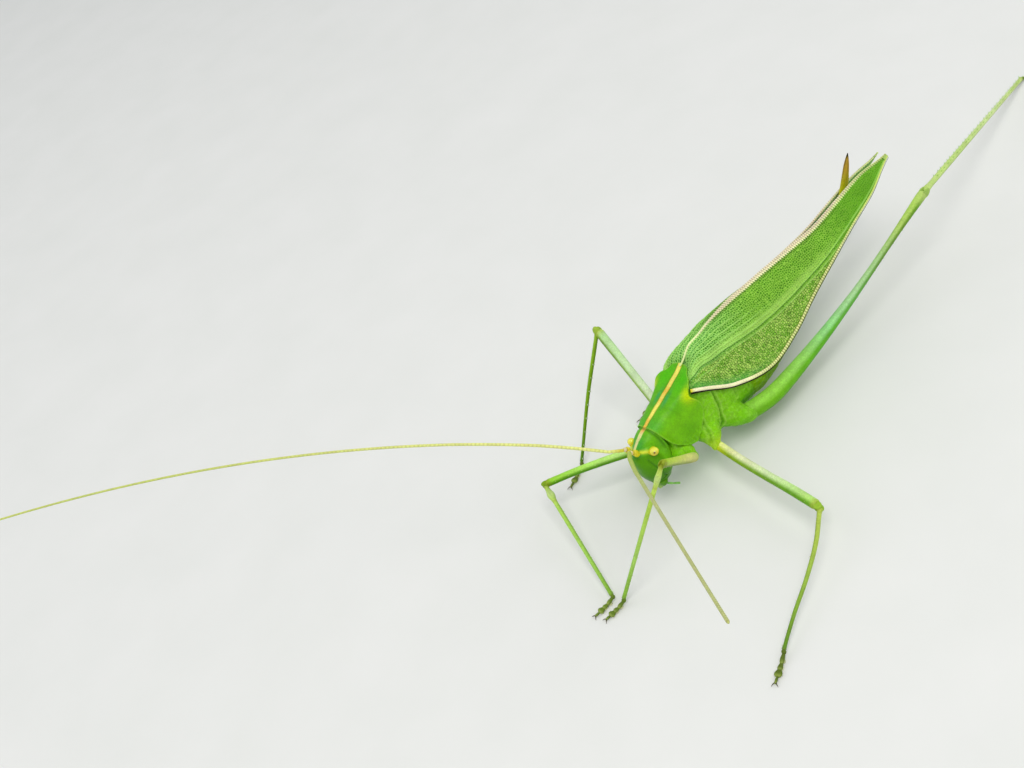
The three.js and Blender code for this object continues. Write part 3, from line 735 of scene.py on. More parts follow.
def shield_tint(grid, margin, marks):
    forward, left, up = places_of(grid)
    out = np.abs(left)
    blotch = bell(forward - 3.2, 0.55) + 0.7 * bell(forward - 4.3, 0.3) + ramp(forward, 6.3, 7.0)
    orange = 0.7 * blotch + 0.35 * bell(out - 0.24, 0.08)
    stripe = mixed((250, 240, 110), (244, 186, 60), np.clip(orange, 0, 0.9))
    return coated(
        mixed((100, 182, 22), (84, 192, 0), bell(forward - 1.6, 1.6) * bell(out - 1.2, 1.0)),
        ((122, 198, 8), ramp(up, -0.9, -2.4)),
        ((98, 172, 8), 0.7 * bell(forward - 4.6, 1.1) * bell(up + 4.4, 1.2)),
        ((132, 206, 32), 0.6 * bell(forward - 5.9, 0.8) * bell(out - 1.55, 0.4)),
        # painted reflection: a teal glint of the sky in the hollow beside the stripe
        ((40, 160, 96), 0.7 * bell(forward - 4.0, 0.9) * bell(out - 0.62, 0.24)),
        ((84, 180, 60), 0.5 * ramp(forward, 5.4, 7.4) * ramp(up, -2.2, -1.1)),
        ((146, 214, 50), 0.35 * ramp(marks.speckle, 0.3, 1.0) * ramp(up, -4.4, -5.6)),
        ((158, 214, 70), 0.6 * bell(margin, 0.1)),
        ((206, 236, 0), bell(forward - 2.6, 0.75) * bell(up + 1.05, 0.8) * ramp(out, 1.6, 2.2)),
        # painted shade: a dark line along each edge of the stripe
        ((70, 110, 0), 0.55 * bell(marks.past_stripe - 0.05, 0.05)),
        (stripe, ramp(marks.past_stripe, 0.05, -0.05)),
        (DARK_GREEN, 0.12 * np.maximum(marks.furrow, marks.chevron)),
    )


def make_pronotum():
    grid, margin = shield_grid()
    marks = shield_marks(grid)
    normal = outward_normals(grid)
    outer = grid + normal * shield_lift(grid, margin, marks)[..., None]
    shape = Shape()
    slab(shape, outer, grid - normal * SHIELD_SHEET, shield_tint(grid, margin, marks))
    material = shell_material("shield_green", 0.38, 8.0, 0.012, 0.08, 0.15)
    place(shape.mesh("pronotum_plate"), "pronotum_plate", material, "shield_green", ["pronotum"])


# ---- head ----
HEAD = {
    "crown": -1.45, "mouth": -7.0, "fullness": 1.1,
    "middle": [8.75, 8.75, 8.8, 8.9, 9.05, 9.2, 9.35],
    "length": [0.5, 1.5, 1.98, 2.1, 2.05, 1.75, 1.2],
    "width": [0.4, 1.25, 1.68, 1.88, 1.92, 1.72, 1.3],
}
# the top of the head, from inside the pronotum to the beak between the antennae
VERTEX = {
    "from": 7.4, "to": 10.1, "fullness": 1.12,
    "top": [-1.12, -1.18, -1.36, -1.58, -1.86], "bottom": [-5.4, -5.2, -4.2, -3.0, -2.5],
    "width": [1.68, 1.6, 1.36, 0.8, 0.34],
}
FACE = ((10.45, 0, -4.2), (1.0, 0.6, 1.7))        # middle and radii of the bulging forehead
EYE_STALK = ((9.1, 1.3, -2.65), (0.42, 0.5, 0.45))
CHEEK = ((9.0, 1.2, -5.1), (0.78, 1.3, 1.5))
EYES = {"l": (9.12, 1.72, -2.6), "r": (9.12, 1.48, -2.22)}
EYE_RADII = {"l": (0.51, 0.5, 0.41), "r": (0.42, 0.42, 0.4)}
PUPIL = (0.74, -0.48, 0.47)     # the dark spot's direction from the middle of the left eye (left, back, up)
SOCKET = (10.42, 0.62, -1.95)
SOCKET_RADII = (0.29, 0.29, 0.28)
SCAPE_ROOT = (10.3, 0.62, -1.8)
SCAPE_TIPS = {"l": (10.92, 0.5, -1.08), "r": (10.75, 0.5, -1.15)}
HEAD_VOXEL = 0.06       # mm
# ridge from socket to eye, and groove down the cheek, as (forward, up)
CARINA = [(10.4, -1.95), (10.1, -2.12), (9.75, -2.32), (9.4, -2.46)]
CHEEK_GROOVE = [(10.1, -3.2), (9.9, -4.6), (9.6, -6.2)]
HEAD_STRIPE_HALF = [(7.5, 0.25), (8.5, 0.24), (10.0, 0.16)]


def head_shape():
    shape = Shape()
    s = np.linspace(0, 1, 30)
    path = body(curve(HEAD["middle"], s), 0, lerp(HEAD["crown"], HEAD["mouth"], s))
    width, length = curve(HEAD["width"], s), curve(HEAD["length"], s)
    shape.tube(rings(path, (1, 0, 0), (0, 1, 0), width, length, 40, HEAD["fullness"]))
    shape.tube(trunk_rings(VERTEX, 24))
    for side in SIDES.values():
        for middle, radii in ((SOCKET, SOCKET_RADII), EYE_STALK, CHEEK):
            ellipsoid(shape, sided(middle, side), radii)
    ellipsoid(shape, body(*FACE[0]), FACE[1])
    return shape


def head_marks(points):
    forward, left, up = places_of(points)
    out = np.abs(left)
    return SimpleNamespace(
        keel=bell(distance_to_line(CARINA, forward, up), 0.18) * ramp(out, 0.3, 0.6),
        cheek=bell(distance_to_line(CHEEK_GROOVE, forward, up), 0.12) * ramp(out, 0.9, 1.3),
        brow=bell(up + 6.1 + 0.1 * out, 0.1) * ramp(forward, 9.0, 9.6),
        nape=bell(forward - 7.75, 0.16) * ramp(up, -4.2, -3.0),
    )


def head_tint(points, marks):
    forward, left, up = places_of(points)
    out = np.abs(left)
    past_stripe = out - knots(HEAD_STRIPE_HALF, forward)
    pink = mixed((224, 224, 150), (240, 186, 90), ramp(forward, 8.6, 7.8))
    socket = distance_to(SOCKET, points)
    tint = coated(
        mixed((110, 188, 16), (60, 166, 60), 0.8 * ramp(forward, 7.7, 9.6) * ramp(out, 1.2, 0.4)),
        ((88, 156, 0), ramp(up, -2.4, -2.8) * ramp(forward, 8.5, 9.0)),
        ((74, 136, 0), ramp(up, -3.6, -6.0) * ramp(forward, 8.2, 9.2)),
        ((100, 176, 30), 0.6 * bell(up + 3.0, 0.7) * ramp(forward, 8.8, 8.2)),
        (pink, ramp(past_stripe, 0.03, -0.03) * ramp(up, -2.2, -1.95)),
        ((228, 236, 64), marks.keel),
        ((226, 214, 20), bell(socket - 0.2, 0.22)),
        ((130, 60, 10), 0.55 * bell(socket - 0.36, 0.05)),
    )
    for suffix, side in SIDES.items():
        orbit = np.linalg.norm((points - sided(EYES[suffix], side)) / EYE_RADII[suffix], axis=1)
        tint = mixed(tint, (214, 206, 20), ramp(orbit, 1.25, 1.05))
    # the cheek and brow grooves are darkened; the dark band of the nape, in front of the shield's edge, is
    # painted shade
    return mixed(tint, DARK_GREEN, 0.5 * np.maximum(marks.cheek, marks.brow) + 0.6 * marks.nape)


def make_head():
    mesh = fused(head_shape(), "head", HEAD_VOXEL, smoothing=5)
    points = points_of(mesh)
    marks = head_marks(points)
    lift = 0.09 * marks.keel - 0.09 * marks.cheek - 0.09 * marks.brow - 0.06 * marks.nape
    set_points(mesh, lifted(mesh, lift))
    paint_points(mesh, "tint", np.clip(head_tint(points, marks), 0, 1))
    material = shell_material("head_green", 0.34, 12.0, 0.008, 0.08, 0.15)
    place(mesh, "head_capsule", material, "body_green", ["head"])


MOUTH_PALE = (168, 204, 92)
MOUTH_GREEN = (92, 150, 20)
MOUTH_BROWN = (112, 84, 30)
LIP = (body(10.35, 0, -6.7), body(10.2, 0, -8.15))
CHIN = (body(9.2, 0, -6.8), body(9.35, 0, -8.2))
JAW = ((9.9, 1.0, -6.75), (10.0, 0.35, -8.05))
PALP = ((9.75, 0.85, -7.4), (9.85, 1.1, -7.5), (9.5, 1.52, -7.8), (9.03, 2.0, -8.12))


def make_mouthparts():
    shape = Shape()
    s = np.linspace(0, 1, 10)
    lip = rings(line(*LIP, 10), (1, 0, 0), (0, 1, 0), curve([0.95, 0.92, 0.8, 0.62, 0.25], s), 0.24, 20)
    shape.tube(lip, mixed(MOUTH_GREEN, MOUTH_PALE, s))
    chin_width = [0.9, 0.95, 0.9, 0.8, 0.7, 0.55, 0.4, 0.2]
    shape.tube(rings(line(*CHIN, 8), (1, 0, 0), (0, 1, 0), chin_width, 0.4, 20), MOUTH_PALE)
    radius = curve([0.42, 0.5, 0.42, 0.28, 0.1], s)
    for side in SIDES.values():
        jaw = rod(line(*sided(JAW, side), 10), radius, 14, (0, 1, 0))
        shape.tube(jaw, mixed(MOUTH_GREEN, MOUTH_BROWN, ramp(s, 0.6, 1)))
    material = shell_material("mouth_green", 0.4, 14.0, 0.01, 0.12, 0.2)
    place(shape.mesh("mouthparts_set"), "mouthparts_set", material, "mouth_pale_green", ["mouthparts"])


def make_palp(suffix, side):
    shape = Shape()
    points = sided(PALP, side)
    s = np.linspace(0, 1, 8)
    radius = curve([0.08, 0.11, 0.12, 0.13, 0.1], s)
    for start, end in zip(points[:-1], points[1:]):
        shape.tube(rod(line(start, end, 8), radius, 12), mixed((110, 180, 60), (150, 206, 110), s))
    material = shell_material(f"palp_{suffix}_green", 0.4, 14.0, 0.008, 0.1, 0.2)
    place(shape.mesh("palp"), f"palpus_{suffix}", material, "mouth_pale_green", [f"palp_{suffix}"])


def eye_material(suffix):
    paint = Paint(f"eye_{suffix}_yellow")
    facets = paint.cells(paint.attribute("place"), 16.0, randomness=0.25)
    seam = paint.math("MULTIPLY", paint.ramp(facets, 0.25, 0.7), 0.25)
    paint.set(Base_Color=paint.mix(seam, paint.attribute("tint"), linear((150, 130, 20))))
    paint.set(Roughness=0.22, Coat_Weight=0.5, Coat_Roughness=0.08)
    paint.set(Subsurface_Weight=0.25, Subsurface_Radius=(1.0, 0.8, 0.2), Subsurface_Scale=0.3 * MM)
    paint.bump(paint.math("SUBTRACT", 1.0, facets), 0.01, 0.6)
    return paint.material


def make_eye(suffix, side):
    shape = Shape()
    centre = sided(EYES[suffix], side)
    ellipsoid(shape, centre, EYE_RADII[suffix], rows=40, sides=56)
    mesh = shape.mesh("eye")
    toward = unit((points_of(mesh) - centre) / EYE_RADII[suffix])
    pupil = unit(np.array(PUPIL) * (side, 1, 1))
    angle = np.degrees(np.arccos(np.clip(toward @ pupil, -1, 1)))
    tint = coated(
        # painted highlight: paler toward the top
        mixed((232, 206, 16), (244, 240, 76), ramp(toward[:, 2], -0.2, 0.7)),
        ((226, 150, 10), 0.8 * ramp(toward[:, 2], -0.35, -0.7)),
        ((176, 176, 60), 0.5 * bell(angle - 26, 10) * ramp(toward @ (side, -0.6, 0.3), 0.7, 1.0)),
        ((96, 50, 0), ramp(angle, 19, 9)),
    )
    paint_points(mesh, "tint", tint)
    place(mesh, f"eyeball_{suffix}", eye_material(suffix), "eye_yellow", [f"eye_{suffix}"])


# ---- antennae ----
FEELER_LENGTH = 88.0      # mm
# heading and rise at the root and at the tip, degrees, in the row frame
FEELERS = {
    "l": {"heading": (61.0, 61.3), "rise": (37.1, 35.3)},
    "r": {"heading": (-48.6, -15.6), "rise": (27.0, 12.7)},
}
# how each antenna sways off its even line: a way in the row frame, mm, and how much of it along the length
FEELER_SWAYS = {
    "l": ((-0.184, -0.378, 0.003), [(0.0, 0.0), (0.1, 0.7), (0.25, 1.0), (1.0, 0.6)]),
    "r": ((0.086, -0.237, -0.243), [(0.0, 0.2), (0.018, 1.0), (0.05, 0.65), (0.1, 0.25), (0.2, 0.0)]),
}
FEELER_WIDTHS = {"l": 1.24, "r": 0.92}    # at the root, as a share of the radii
FEELER_RADII = [0.2, 0.17, 0.14, 0.12, 0.1, 0.085]
FEELER_TINTS = {"l": ((184, 208, 70), (196, 200, 120)), "r": ((240, 242, 150), (206, 214, 120))}
FEELER_RINGING = {"l": 0.5, "r": 0.3}     # how dark the rings' waists are
FEELER_POINTS = 1050
TIP_SHARE = 0.0025        # the rounded tip's share of the length
RING_LENGTH = 0.42        # mm
FEELER_ROOT = (10.85, 0.5, -0.95)     # in the solids; the joints before it lead to a slightly lower place


def feeler_path(suffix):
    even = np.linspace(0, 1, FEELER_POINTS)
    heading, rise = (np.radians(lerp(*FEELERS[suffix][key], even)) for key in ("heading", "rise"))
    steps = np.stack([np.sin(heading) * np.cos(rise), -np.cos(heading) * np.cos(rise), np.sin(rise)], -1)
    steps = (steps[1:] + steps[:-1]) / 2 * FEELER_LENGTH / (FEELER_POINTS - 1)
    root = to_row(sided(FEELER_ROOT, SIDES[suffix]))
    shift = to_row(sided(SCAPE_TIPS[suffix], SIDES[suffix])) - root
    path = root + np.concatenate([np.zeros((1, 3)), np.cumsum(steps, 0)])
    s = even[:, None]
    way, share = FEELER_SWAYS[suffix]
    return path + shift * ramp(s, 0.1, 0.0) + np.array(way) * knots(share, s)


def make_antenna(suffix):
    s = np.linspace(0, 1, FEELER_POINTS)
    ring = s * FEELER_LENGTH / RING_LENGTH
    waist = bell((ring - np.round(ring)) * RING_LENGTH, 0.07)
    radius = curve(FEELER_RADII, s) * lerp(FEELER_WIDTHS[suffix], 1, s) * (1 - 0.12 * waist)
    radius = radius * np.sqrt(np.clip((1 - s) / TIP_SHARE, 0, 1))
    near, far = FEELER_TINTS[suffix]
    tint = coated(
        mixed(near, far, ramp(s, 0.05, 0.6)),
        ((150, 140, 78), FEELER_RINGING[suffix] * waist),
        ((214, 200, 60), bell(s, 0.01)),
    )
    shape = Shape()
    shape.tube(rod(feeler_path(suffix), radius), tint)
    nodes = [f"antenna_{suffix}_{n}" for n in (1, 2, 3)]
    material = shell_material(f"feeler_{suffix}_cream", 0.45, 16.0, 0.006, 0.08, 0.2)
    place(shape.mesh("feeler"), f"feeler_{suffix}", material, "feeler_cream", nodes, in_body=False)


def make_scape(suffix, side):
    shape = Shape()
    root, tip = sided([SCAPE_ROOT, SCAPE_TIPS[suffix]], side)
    s = np.linspace(0, 1, 18)
    radius = curve([0.22, 0.3, 0.33, 0.31, 0.21, 0.23, 0.25, 0.2], s)
    tint = coated(
        mixed((226, 214, 30), (232, 220, 60), ramp(s, 0.1, 0.6)),
        ((236, 222, 178), ramp(s, 0.62, 0.8)),
        ((150, 90, 10), 0.7 * bell(s - 0.57, 0.04)),
    )
    shape.tube(rod(line(root - (tip - root) * 0.15, tip, 18), radius, 20), tint)
    material = shell_material(f"scape_{suffix}_cream", 0.4, 12.0, 0.008, 0.08, 0.2)
    place(shape.mesh("scape"), f"feeler_base_{suffix}", material, "feeler_cream", [f"scape_{suffix}"])


# ---- wings ----
# as in the solids, mm: lists run evenly from root to tip; inner is the edge along the back, outer the low one
WING_INNER = (-0.1, -36.3)
WING_OUTER = (2.4, -36.3)
WING = {
    "outer_up": [-0.95, -5.15, -7.9, -8.0, -7.1, -6.6, -6.3, -6.15, -5.3],
    "outer_out": [2.85, 3.1, 3.05, 2.9, 2.7, 2.4, 1.95, 1.5, 0.9],
    "spread": [0.5, 0.55, 0.65, 0.75, 0.8, 0.85, 0.9, 0.9, 0.9],
    "slope": [3.0, 3.0, 2.1, 1.5, 1.3, 1.2, 1.1, 1.1, 1.1],
}
WING_SIDES = {
    "l": {
        "inner_out": [0.02, 0.06, 0.3, 0.45, 0.5, 0.5, 0.5, 0.55, 0.6],
        "inner_up": [0.3, 1.0, 0.5, -0.35, -1.5, -2.6, -3.05, -3.55, -4.85],
        "root_rise": 0.55,
    },
    "r": {
        "inner_out": [-0.02, 0.0, 0.12, 0.25, 0.45, 0.8, 0.95, 0.8, 0.35],
        "inner_up": [0.0, 0.5, 0.05, -1.1, -2.3, -3.4, -3.8, -4.1, -4.75],
        "root_rise": 0.4,
    },
}
WING_SHEET = 0.16       # mm, thickness
WING_START = 0.35       # mm, how far the wing starts before its first place, under the shield
WING_TUCK = 0.5         # mm, how deep its root dips under the shield
WING_ROWS = 620
WING_COLUMNS = 150
WING_ROUNDS = 8         # how often a search for a place on the wing is repeated
EDGE_COLUMNS = 6        # columns over which the way in from an edge is measured
WING_STEP = 1e-3        # share of the wing over which its slope is measured
OFF_WING = 99.0         # mm, farther out than anything, for places that no wing covers
# the main vein's place between the inner edge, 0, and the outer edge, 1, at (share of length, place)
MAIN_VEIN = [
    (0.0, 0.78), (0.015, 0.74), (0.035, 0.71), (0.06, 0.695), (0.164, 0.689), (0.243, 0.662), (0.313, 0.655),
    (0.396, 0.666), (0.482, 0.72), (0.566, 0.787), (0.647, 0.84), (0.739, 0.885), (0.85, 0.9), (1.0, 0.9),
]
FAN_VEINS = (0.12, 0.27, 0.42, 0.57, 0.72, 0.86)     # places between the inner edge, 0, and the main vein, 1
# by share of the length: widths of the pale hem and rim, mm, and taper of the veins along the two edges
BACK_HEM = [(0, 0.2), (0.12, 0.22), (0.3, 0.45), (0.75, 0.42), (0.9, 0.22), (1, 0.1)]
COSTAL_RIM = [(0, 0.34), (0.6, 0.34), (0.9, 0.18), (1, 0.14)]
COSTAL_RADIUS = 0.21
COSTAL_TAPER = [(0, 0.9), (0.1, 1.0), (0.3, 0.95), (0.7, 0.65), (1, 0.35)]
COSTAL_START = 0.006        # share of the length where that vein starts
BACK_RADIUS = 0.13
BACK_TAPER = [(0, 0.7), (0.3, 1.1), (0.8, 0.85), (1, 0.5)]
BEAD_LENGTH = 0.31          # mm
NET_SEED = 7
NET_SIZE = 256          # cells before a net repeats


def wing_point(suffix, s, t):
    """A point of a wing's smooth sheet, s from root to tip and t from the inner edge to the outer one."""
    own = WING_SIDES[suffix]
    forward = lerp(lerp(*WING_INNER, s), lerp(*WING_OUTER, s), t)
    outer_out = curve(WING["outer_out"], s) * ramp(s, -0.1, 0.04)
    out = lerp(curve(own["inner_out"], s), outer_out, t ** curve(WING["spread"], s))
    inner_up = curve(own["inner_up"], s) + own["root_rise"] * bell(s - 0.05, 0.035)
    up = lerp(inner_up, curve(WING["outer_up"], s), t ** curve(WING["slope"], s))
    return body(forward, SIDES[suffix] * out, up)


def under_wing(suffix, forward, up):
    """How far out a folded wing stands over each place of a side view, mm; OFF_WING beside it."""
    own = WING_SIDES[suffix]
    t = np.full(np.shape(forward), 0.5)
    for _ in range(WING_ROUNDS):     # s follows from t and t from s
        start, end = lerp(WING_INNER[0], WING_OUTER[0], t), lerp(WING_INNER[1], WING_OUTER[1], t)
        s = np.clip((forward - start) / (end - start), 0, 1)
        high, low = curve(own["inner_up"], s), curve(WING["outer_up"], s)
        share = (high - up) / (high - low)
        t = np.clip(share, 0, 1) ** (1 / curve(WING["slope"], s))
    out = lerp(curve(own["inner_out"], s), curve(WING["outer_out"], s), t ** curve(WING["spread"], s))
    covered = (share > 0) & (share < 1) & (forward < -1.0)
    return np.where(covered, np.abs(out), OFF_WING)


def cell_net(u, v, size, seed):
    """Distance from the borders of scattered cells, in cells, and each cell's own number 0..1."""
    rng = np.random.default_rng(seed)
    jitter = rng.random((NET_SIZE, NET_SIZE, 2)) * 0.8 + 0.1
    number = rng.random((NET_SIZE, NET_SIZE))
    x, y = u / size, v / size
    column, row = np.floor(x).astype(int), np.floor(y).astype(int)
    nearest = np.full(x.shape, 9.0)
    second = np.full(x.shape, 9.0)
    own = np.zeros(x.shape)
    for i in (-1, 0, 1):
        for j in (-1, 0, 1):
            a, b = (column + i) % NET_SIZE, (row + j) % NET_SIZE
            dx = column + i + jitter[a, b, 0] - x
            dy = row + j + jitter[a, b, 1] - y
            d = np.hypot(dx, dy)
            closer = d < nearest
            second = np.where(closer, nearest, np.minimum(second, d))
            own = np.where(closer, number[a, b], own)
            nearest = np.where(closer, d, nearest)
    return second - nearest, own


def wing_map(suffix):
    """The wing's grid of points with their normals, and each point's place on the wing, mm.

    s is the share of the length, to_back and to_costal are distances from the inner and the outer edge,
    and past_vein is how far beyond the main vein a point lies, toward the outer edge.
    """
    start = -WING_START / (WING_INNER[0] - WING_INNER[1])
    s, t = np.meshgrid(np.linspace(start, 1, WING_ROWS), np.linspace(0, 1, WING_COLUMNS), indexing="ij")
    t = np.clip(t, WING_STEP, 1 - WING_STEP)
    grid = wing_point(suffix, s, t)
    down = wing_point(suffix, s, t + WING_STEP) - wing_point(suffix, s, t - WING_STEP)
    back = wing_point(suffix, np.minimum(s + WING_STEP, 1), t) - wing_point(suffix, s - WING_STEP, t)
    to_back = np.array([run_along(row) for row in grid])
    vein_at = np.array([np.interp(*row) for row in zip(knots(MAIN_VEIN, s[:, 0]), t, to_back)])[:, None]
    return SimpleNamespace(
        grid=grid,
        normal=SIDES[suffix] * unit(np.cross(down, back)),
        s=s,
        length=grid[..., 1],
        to_back=to_back,
        to_costal=to_back[:, -1:] - to_back,
        vein_at=vein_at,
        past_vein=to_back - vein_at,
    )


def add_veins(wing):
    """Masks of the long veins, of the fine net between them and of the wing's regions."""
    s, past_vein = wing.s, wing.past_vein
    wing.base = ramp(s, 0.32, 0.02)
    wing.rear = ramp(s, 0.55, 0.85)
    wing.costal = ramp(past_vein, 0.1, 0.4)
    wing.teeth = 0.5 + 0.5 * np.sin(wing.length * TAU / BEAD_LENGTH)

    bend = 0.042 * np.sin(wing.length * 1.7 + wing.to_back * 0.9)
    coarse, wing.cell = cell_net(wing.length + bend, past_vein - bend, 0.26, NET_SEED)
    fine, wing.fine_cell = cell_net(wing.length * 1.05, past_vein + bend, 0.27, NET_SEED + 1)
    wing.web = np.where(wing.costal > 0.5, ramp(coarse, 0.34, 0.08), ramp(fine, 0.38, 0.1))

    wing.fan = np.zeros(s.shape)
    for k, share in enumerate(FAN_VEINS):
        reach = ramp(s, 0.2 + 0.05 * k, 0.1 + 0.03 * k)
        wing.fan = np.maximum(wing.fan, bell(wing.to_back - wing.vein_at * share, 0.07) * reach)
    wing.second = bell(past_vein - 0.34 - 0.5 * bell(s - 0.07, 0.06), 0.07) * ramp(s, 0.85, 0.6)
    wing.third = bell(past_vein - 0.62 - 0.8 * bell(s - 0.08, 0.06), 0.06) * ramp(s, 0.3, 0.15)
    wing.ridge = bell(past_vein + 0.16, 0.09)
    wing.trough = bell(past_vein - 0.02, 0.055) * ramp(s, 0.8, 0.55)


def wing_lift(wing):
    """How far net and veins stand out of the smooth sheet, mm."""
    quiet = ramp(wing.to_costal, 0.25, 0.5) * ramp(wing.to_back, 0.3, 0.6)
    veins = 0.08 * wing.fan + 0.06 * wing.ridge + 0.05 * wing.second + 0.04 * wing.third - 0.07 * wing.trough
    return veins + (0.035 * wing.web + 0.02 * (wing.cell - 0.5)) * quiet - 0.04


def net_tint(wing):
    """Cells and net: green lines round dark cells toward the back, dark lines round pale cells below."""
    s, base, rear, past_vein = wing.s, wing.base, wing.rear, wing.past_vein
    cell = mixed((84, 152, 18), (60, 126, 8), wing.fine_cell)
    cell = mixed(cell, (54, 132, 40), base * ramp(past_vein, -1.0, -3.5))
    dorsal = mixed(cell, mixed((150, 204, 70), (160, 218, 116), base), wing.web * lerp(1.0, 0.55, rear))
    cell = mixed((120, 186, 46), (186, 222, 104), ramp(wing.cell, -0.1, 0.9))
    cell = mixed(cell, (120, 184, 50), rear)
    costal = mixed(cell, mixed((58, 104, 14), (84, 146, 24), rear), wing.web)
    return mixed(dorsal, costal, wing.costal * ramp(s, 0.78, 0.6))


def wing_tint(wing):
    s, rear, past_vein, to_back, to_costal = wing.s, wing.rear, wing.past_vein, wing.to_back, wing.to_costal
    gap = 1 - wing.teeth
    shade = ramp(to_back, 0.95, 0.6) * ramp(s, 0.1, 0.18) * (0.4 + 0.6 * gap) * (1 - rear)
    hem = knots(BACK_HEM, s) + 0.2 * wing.teeth
    rim = knots(COSTAL_RIM, s)
    return coated(
        net_tint(wing),
        ((100, 170, 20), 0.45 * rear),
        ((70, 170, 74), 0.6 * ramp(to_costal, 1.6, 0.3) * ramp(s, 0.34, 0.1) * wing.costal),
        ((186, 230, 110), 0.5 * bell(past_vein + 0.55, 0.42) * ramp(s, 0.75, 0.45)),
        ((168, 222, 106), np.maximum(0.85 * wing.fan, 0.7 * np.maximum(wing.second, wing.ridge))),
        # painted shade: the groove under the main vein is darkened
        ((50, 110, 20), 0.75 * wing.trough),
        ((60, 70, 20), 0.55 * shade),
        (mixed((246, 240, 190), (222, 236, 160), rear), ramp(to_back, hem, hem - 0.12) * ramp(s, 0.0, 0.06)),
        ((120, 110, 70), 0.5 * bell(to_back - 0.3, 0.07) * gap * ramp(s, 0.1, 0.2)),
        ((216, 230, 130), ramp(to_costal, rim, rim - 0.08) * ramp(s, 0.1, 0.2)),
        ((80, 84, 20), 0.75 * bell(to_costal - 0.36, 0.09) * gap * ramp(s, 0.1, 0.2) * (1 - rear)),
        ((64, 84, 20), 0.7 * bell(s - 0.9805, 0.0025)),
        ((178, 206, 112), 0.8 * ramp(s, 0.9815, 0.985)),
    )


def edge_path(wing, column, inset, drop):
    """The line along one edge, a little inside the wing's outline."""
    edge = wing.grid[:, column]
    inward = unit(wing.grid[:, EDGE_COLUMNS if column == 0 else -1 - EDGE_COLUMNS] - edge)
    return edge + inward * inset - wing.normal[:, column] * drop


def add_costal_edge(shape, wing):
    """The pale beaded vein along the outer edge, and the painted shadow under it: a dark rod."""
    s = wing.s[:, 0]
    dent = 0.5 - 0.5 * np.cos(wing.length[:, -1] * TAU / BEAD_LENGTH)
    dent = dent * ramp(s, 0.12, 0.3) * ramp(s, 0.95, 0.6)
    radius = COSTAL_RADIUS * (1 - 0.2 * dent) * knots(COSTAL_TAPER, s)
    tint = coated(
        mixed((252, 244, 200), (242, 246, 170), ramp(s, 0.12, 0.26)),
        ((206, 226, 110), ramp(s, 0.6, 0.95)),
        ((110, 120, 30), 0.8 * dent),
        ((232, 222, 20), ramp(s, 0.018, 0.006)),
    )
    start = np.searchsorted(s, COSTAL_START)
    shape.tube(rod(edge_path(wing, -1, 0.14, 0.05), radius)[start:], tint[start:])
    # painted shadow: a dark rod just outside and below the vein, near black at the root, olive and thinner
    # toward the tip
    shadow_tint = mixed((34, 24, 4), (84, 104, 26), ramp(s, 0.16, 0.34))
    radius = radius * lerp(0.68, 0.3, ramp(s, 0.35, 0.7))
    shape.tube(rod(edge_path(wing, -1, -0.13, 0.12), radius, 8)[start:], shadow_tint[start:])


def add_back_edge(shape, wing):
    """The pale toothed vein along the inner edge."""
    s = wing.s[:, 0]
    tooth = np.abs((wing.length[:, 0] / BEAD_LENGTH) % 1 - 0.5) * 2
    radius = BACK_RADIUS * (1 + 0.35 * (tooth - 0.5) * ramp(s, 0.1, 0.25)) * knots(BACK_TAPER, s)
    tint = coated(
        mixed((230, 240, 170), (248, 238, 200), ramp(s, 0.05, 0.2)),
        ((206, 226, 140), ramp(s, 0.7, 0.95)),
        ((120, 100, 60), 0.7 * (1 - tooth) * ramp(s, 0.1, 0.2)),
    )
    shape.tube(rod(edge_path(wing, 0, 0.1, 0.06), radius), tint)


def wing_material(suffix):
    paint = Paint(f"wing_{suffix}_green")
    where = paint.attribute("place")
    fine = paint.noise(where, 7.0, 2.0)
    shade = paint.mottled(paint.attribute("tint"), paint.noise(where, 0.5, 3.0), fine, 0.1)
    paint.set(Base_Color=shade, Roughness=0.42, Specular_IOR_Level=0.15)
    paint.set(Subsurface_Weight=0.12, Subsurface_Radius=(0.5, 1.0, 0.2), Subsurface_Scale=0.2 * MM)
    paint.bump(paint.math("SUBTRACT", 1.0, paint.cells(where, 12.0)), 0.01, 0.6)
    return paint.material


def make_wing(suffix):
    side = SIDES[suffix]
    wing = wing_map(suffix)
    add_veins(wing)
    tuck = WING_TUCK * ramp(wing.s, 0.03, 0.0)
    outer = wing.grid + wing.normal * (wing_lift(wing) - tuck)[..., None]
    under = wing.grid - wing.normal * (WING_SHEET + tuck)[..., None]
    under[..., 0] = side * np.maximum(under[..., 0] * side, -0.05)
    shape = Shape()
    slab(shape, outer, under, wing_tint(wing))
    add_costal_edge(shape, wing)
    add_back_edge(shape, wing)
    material = wing_material(suffix)
    place(shape.mesh("wing"), f"fore_wing_{suffix}", material, "wing_green", [f"tegmen_{suffix}"])


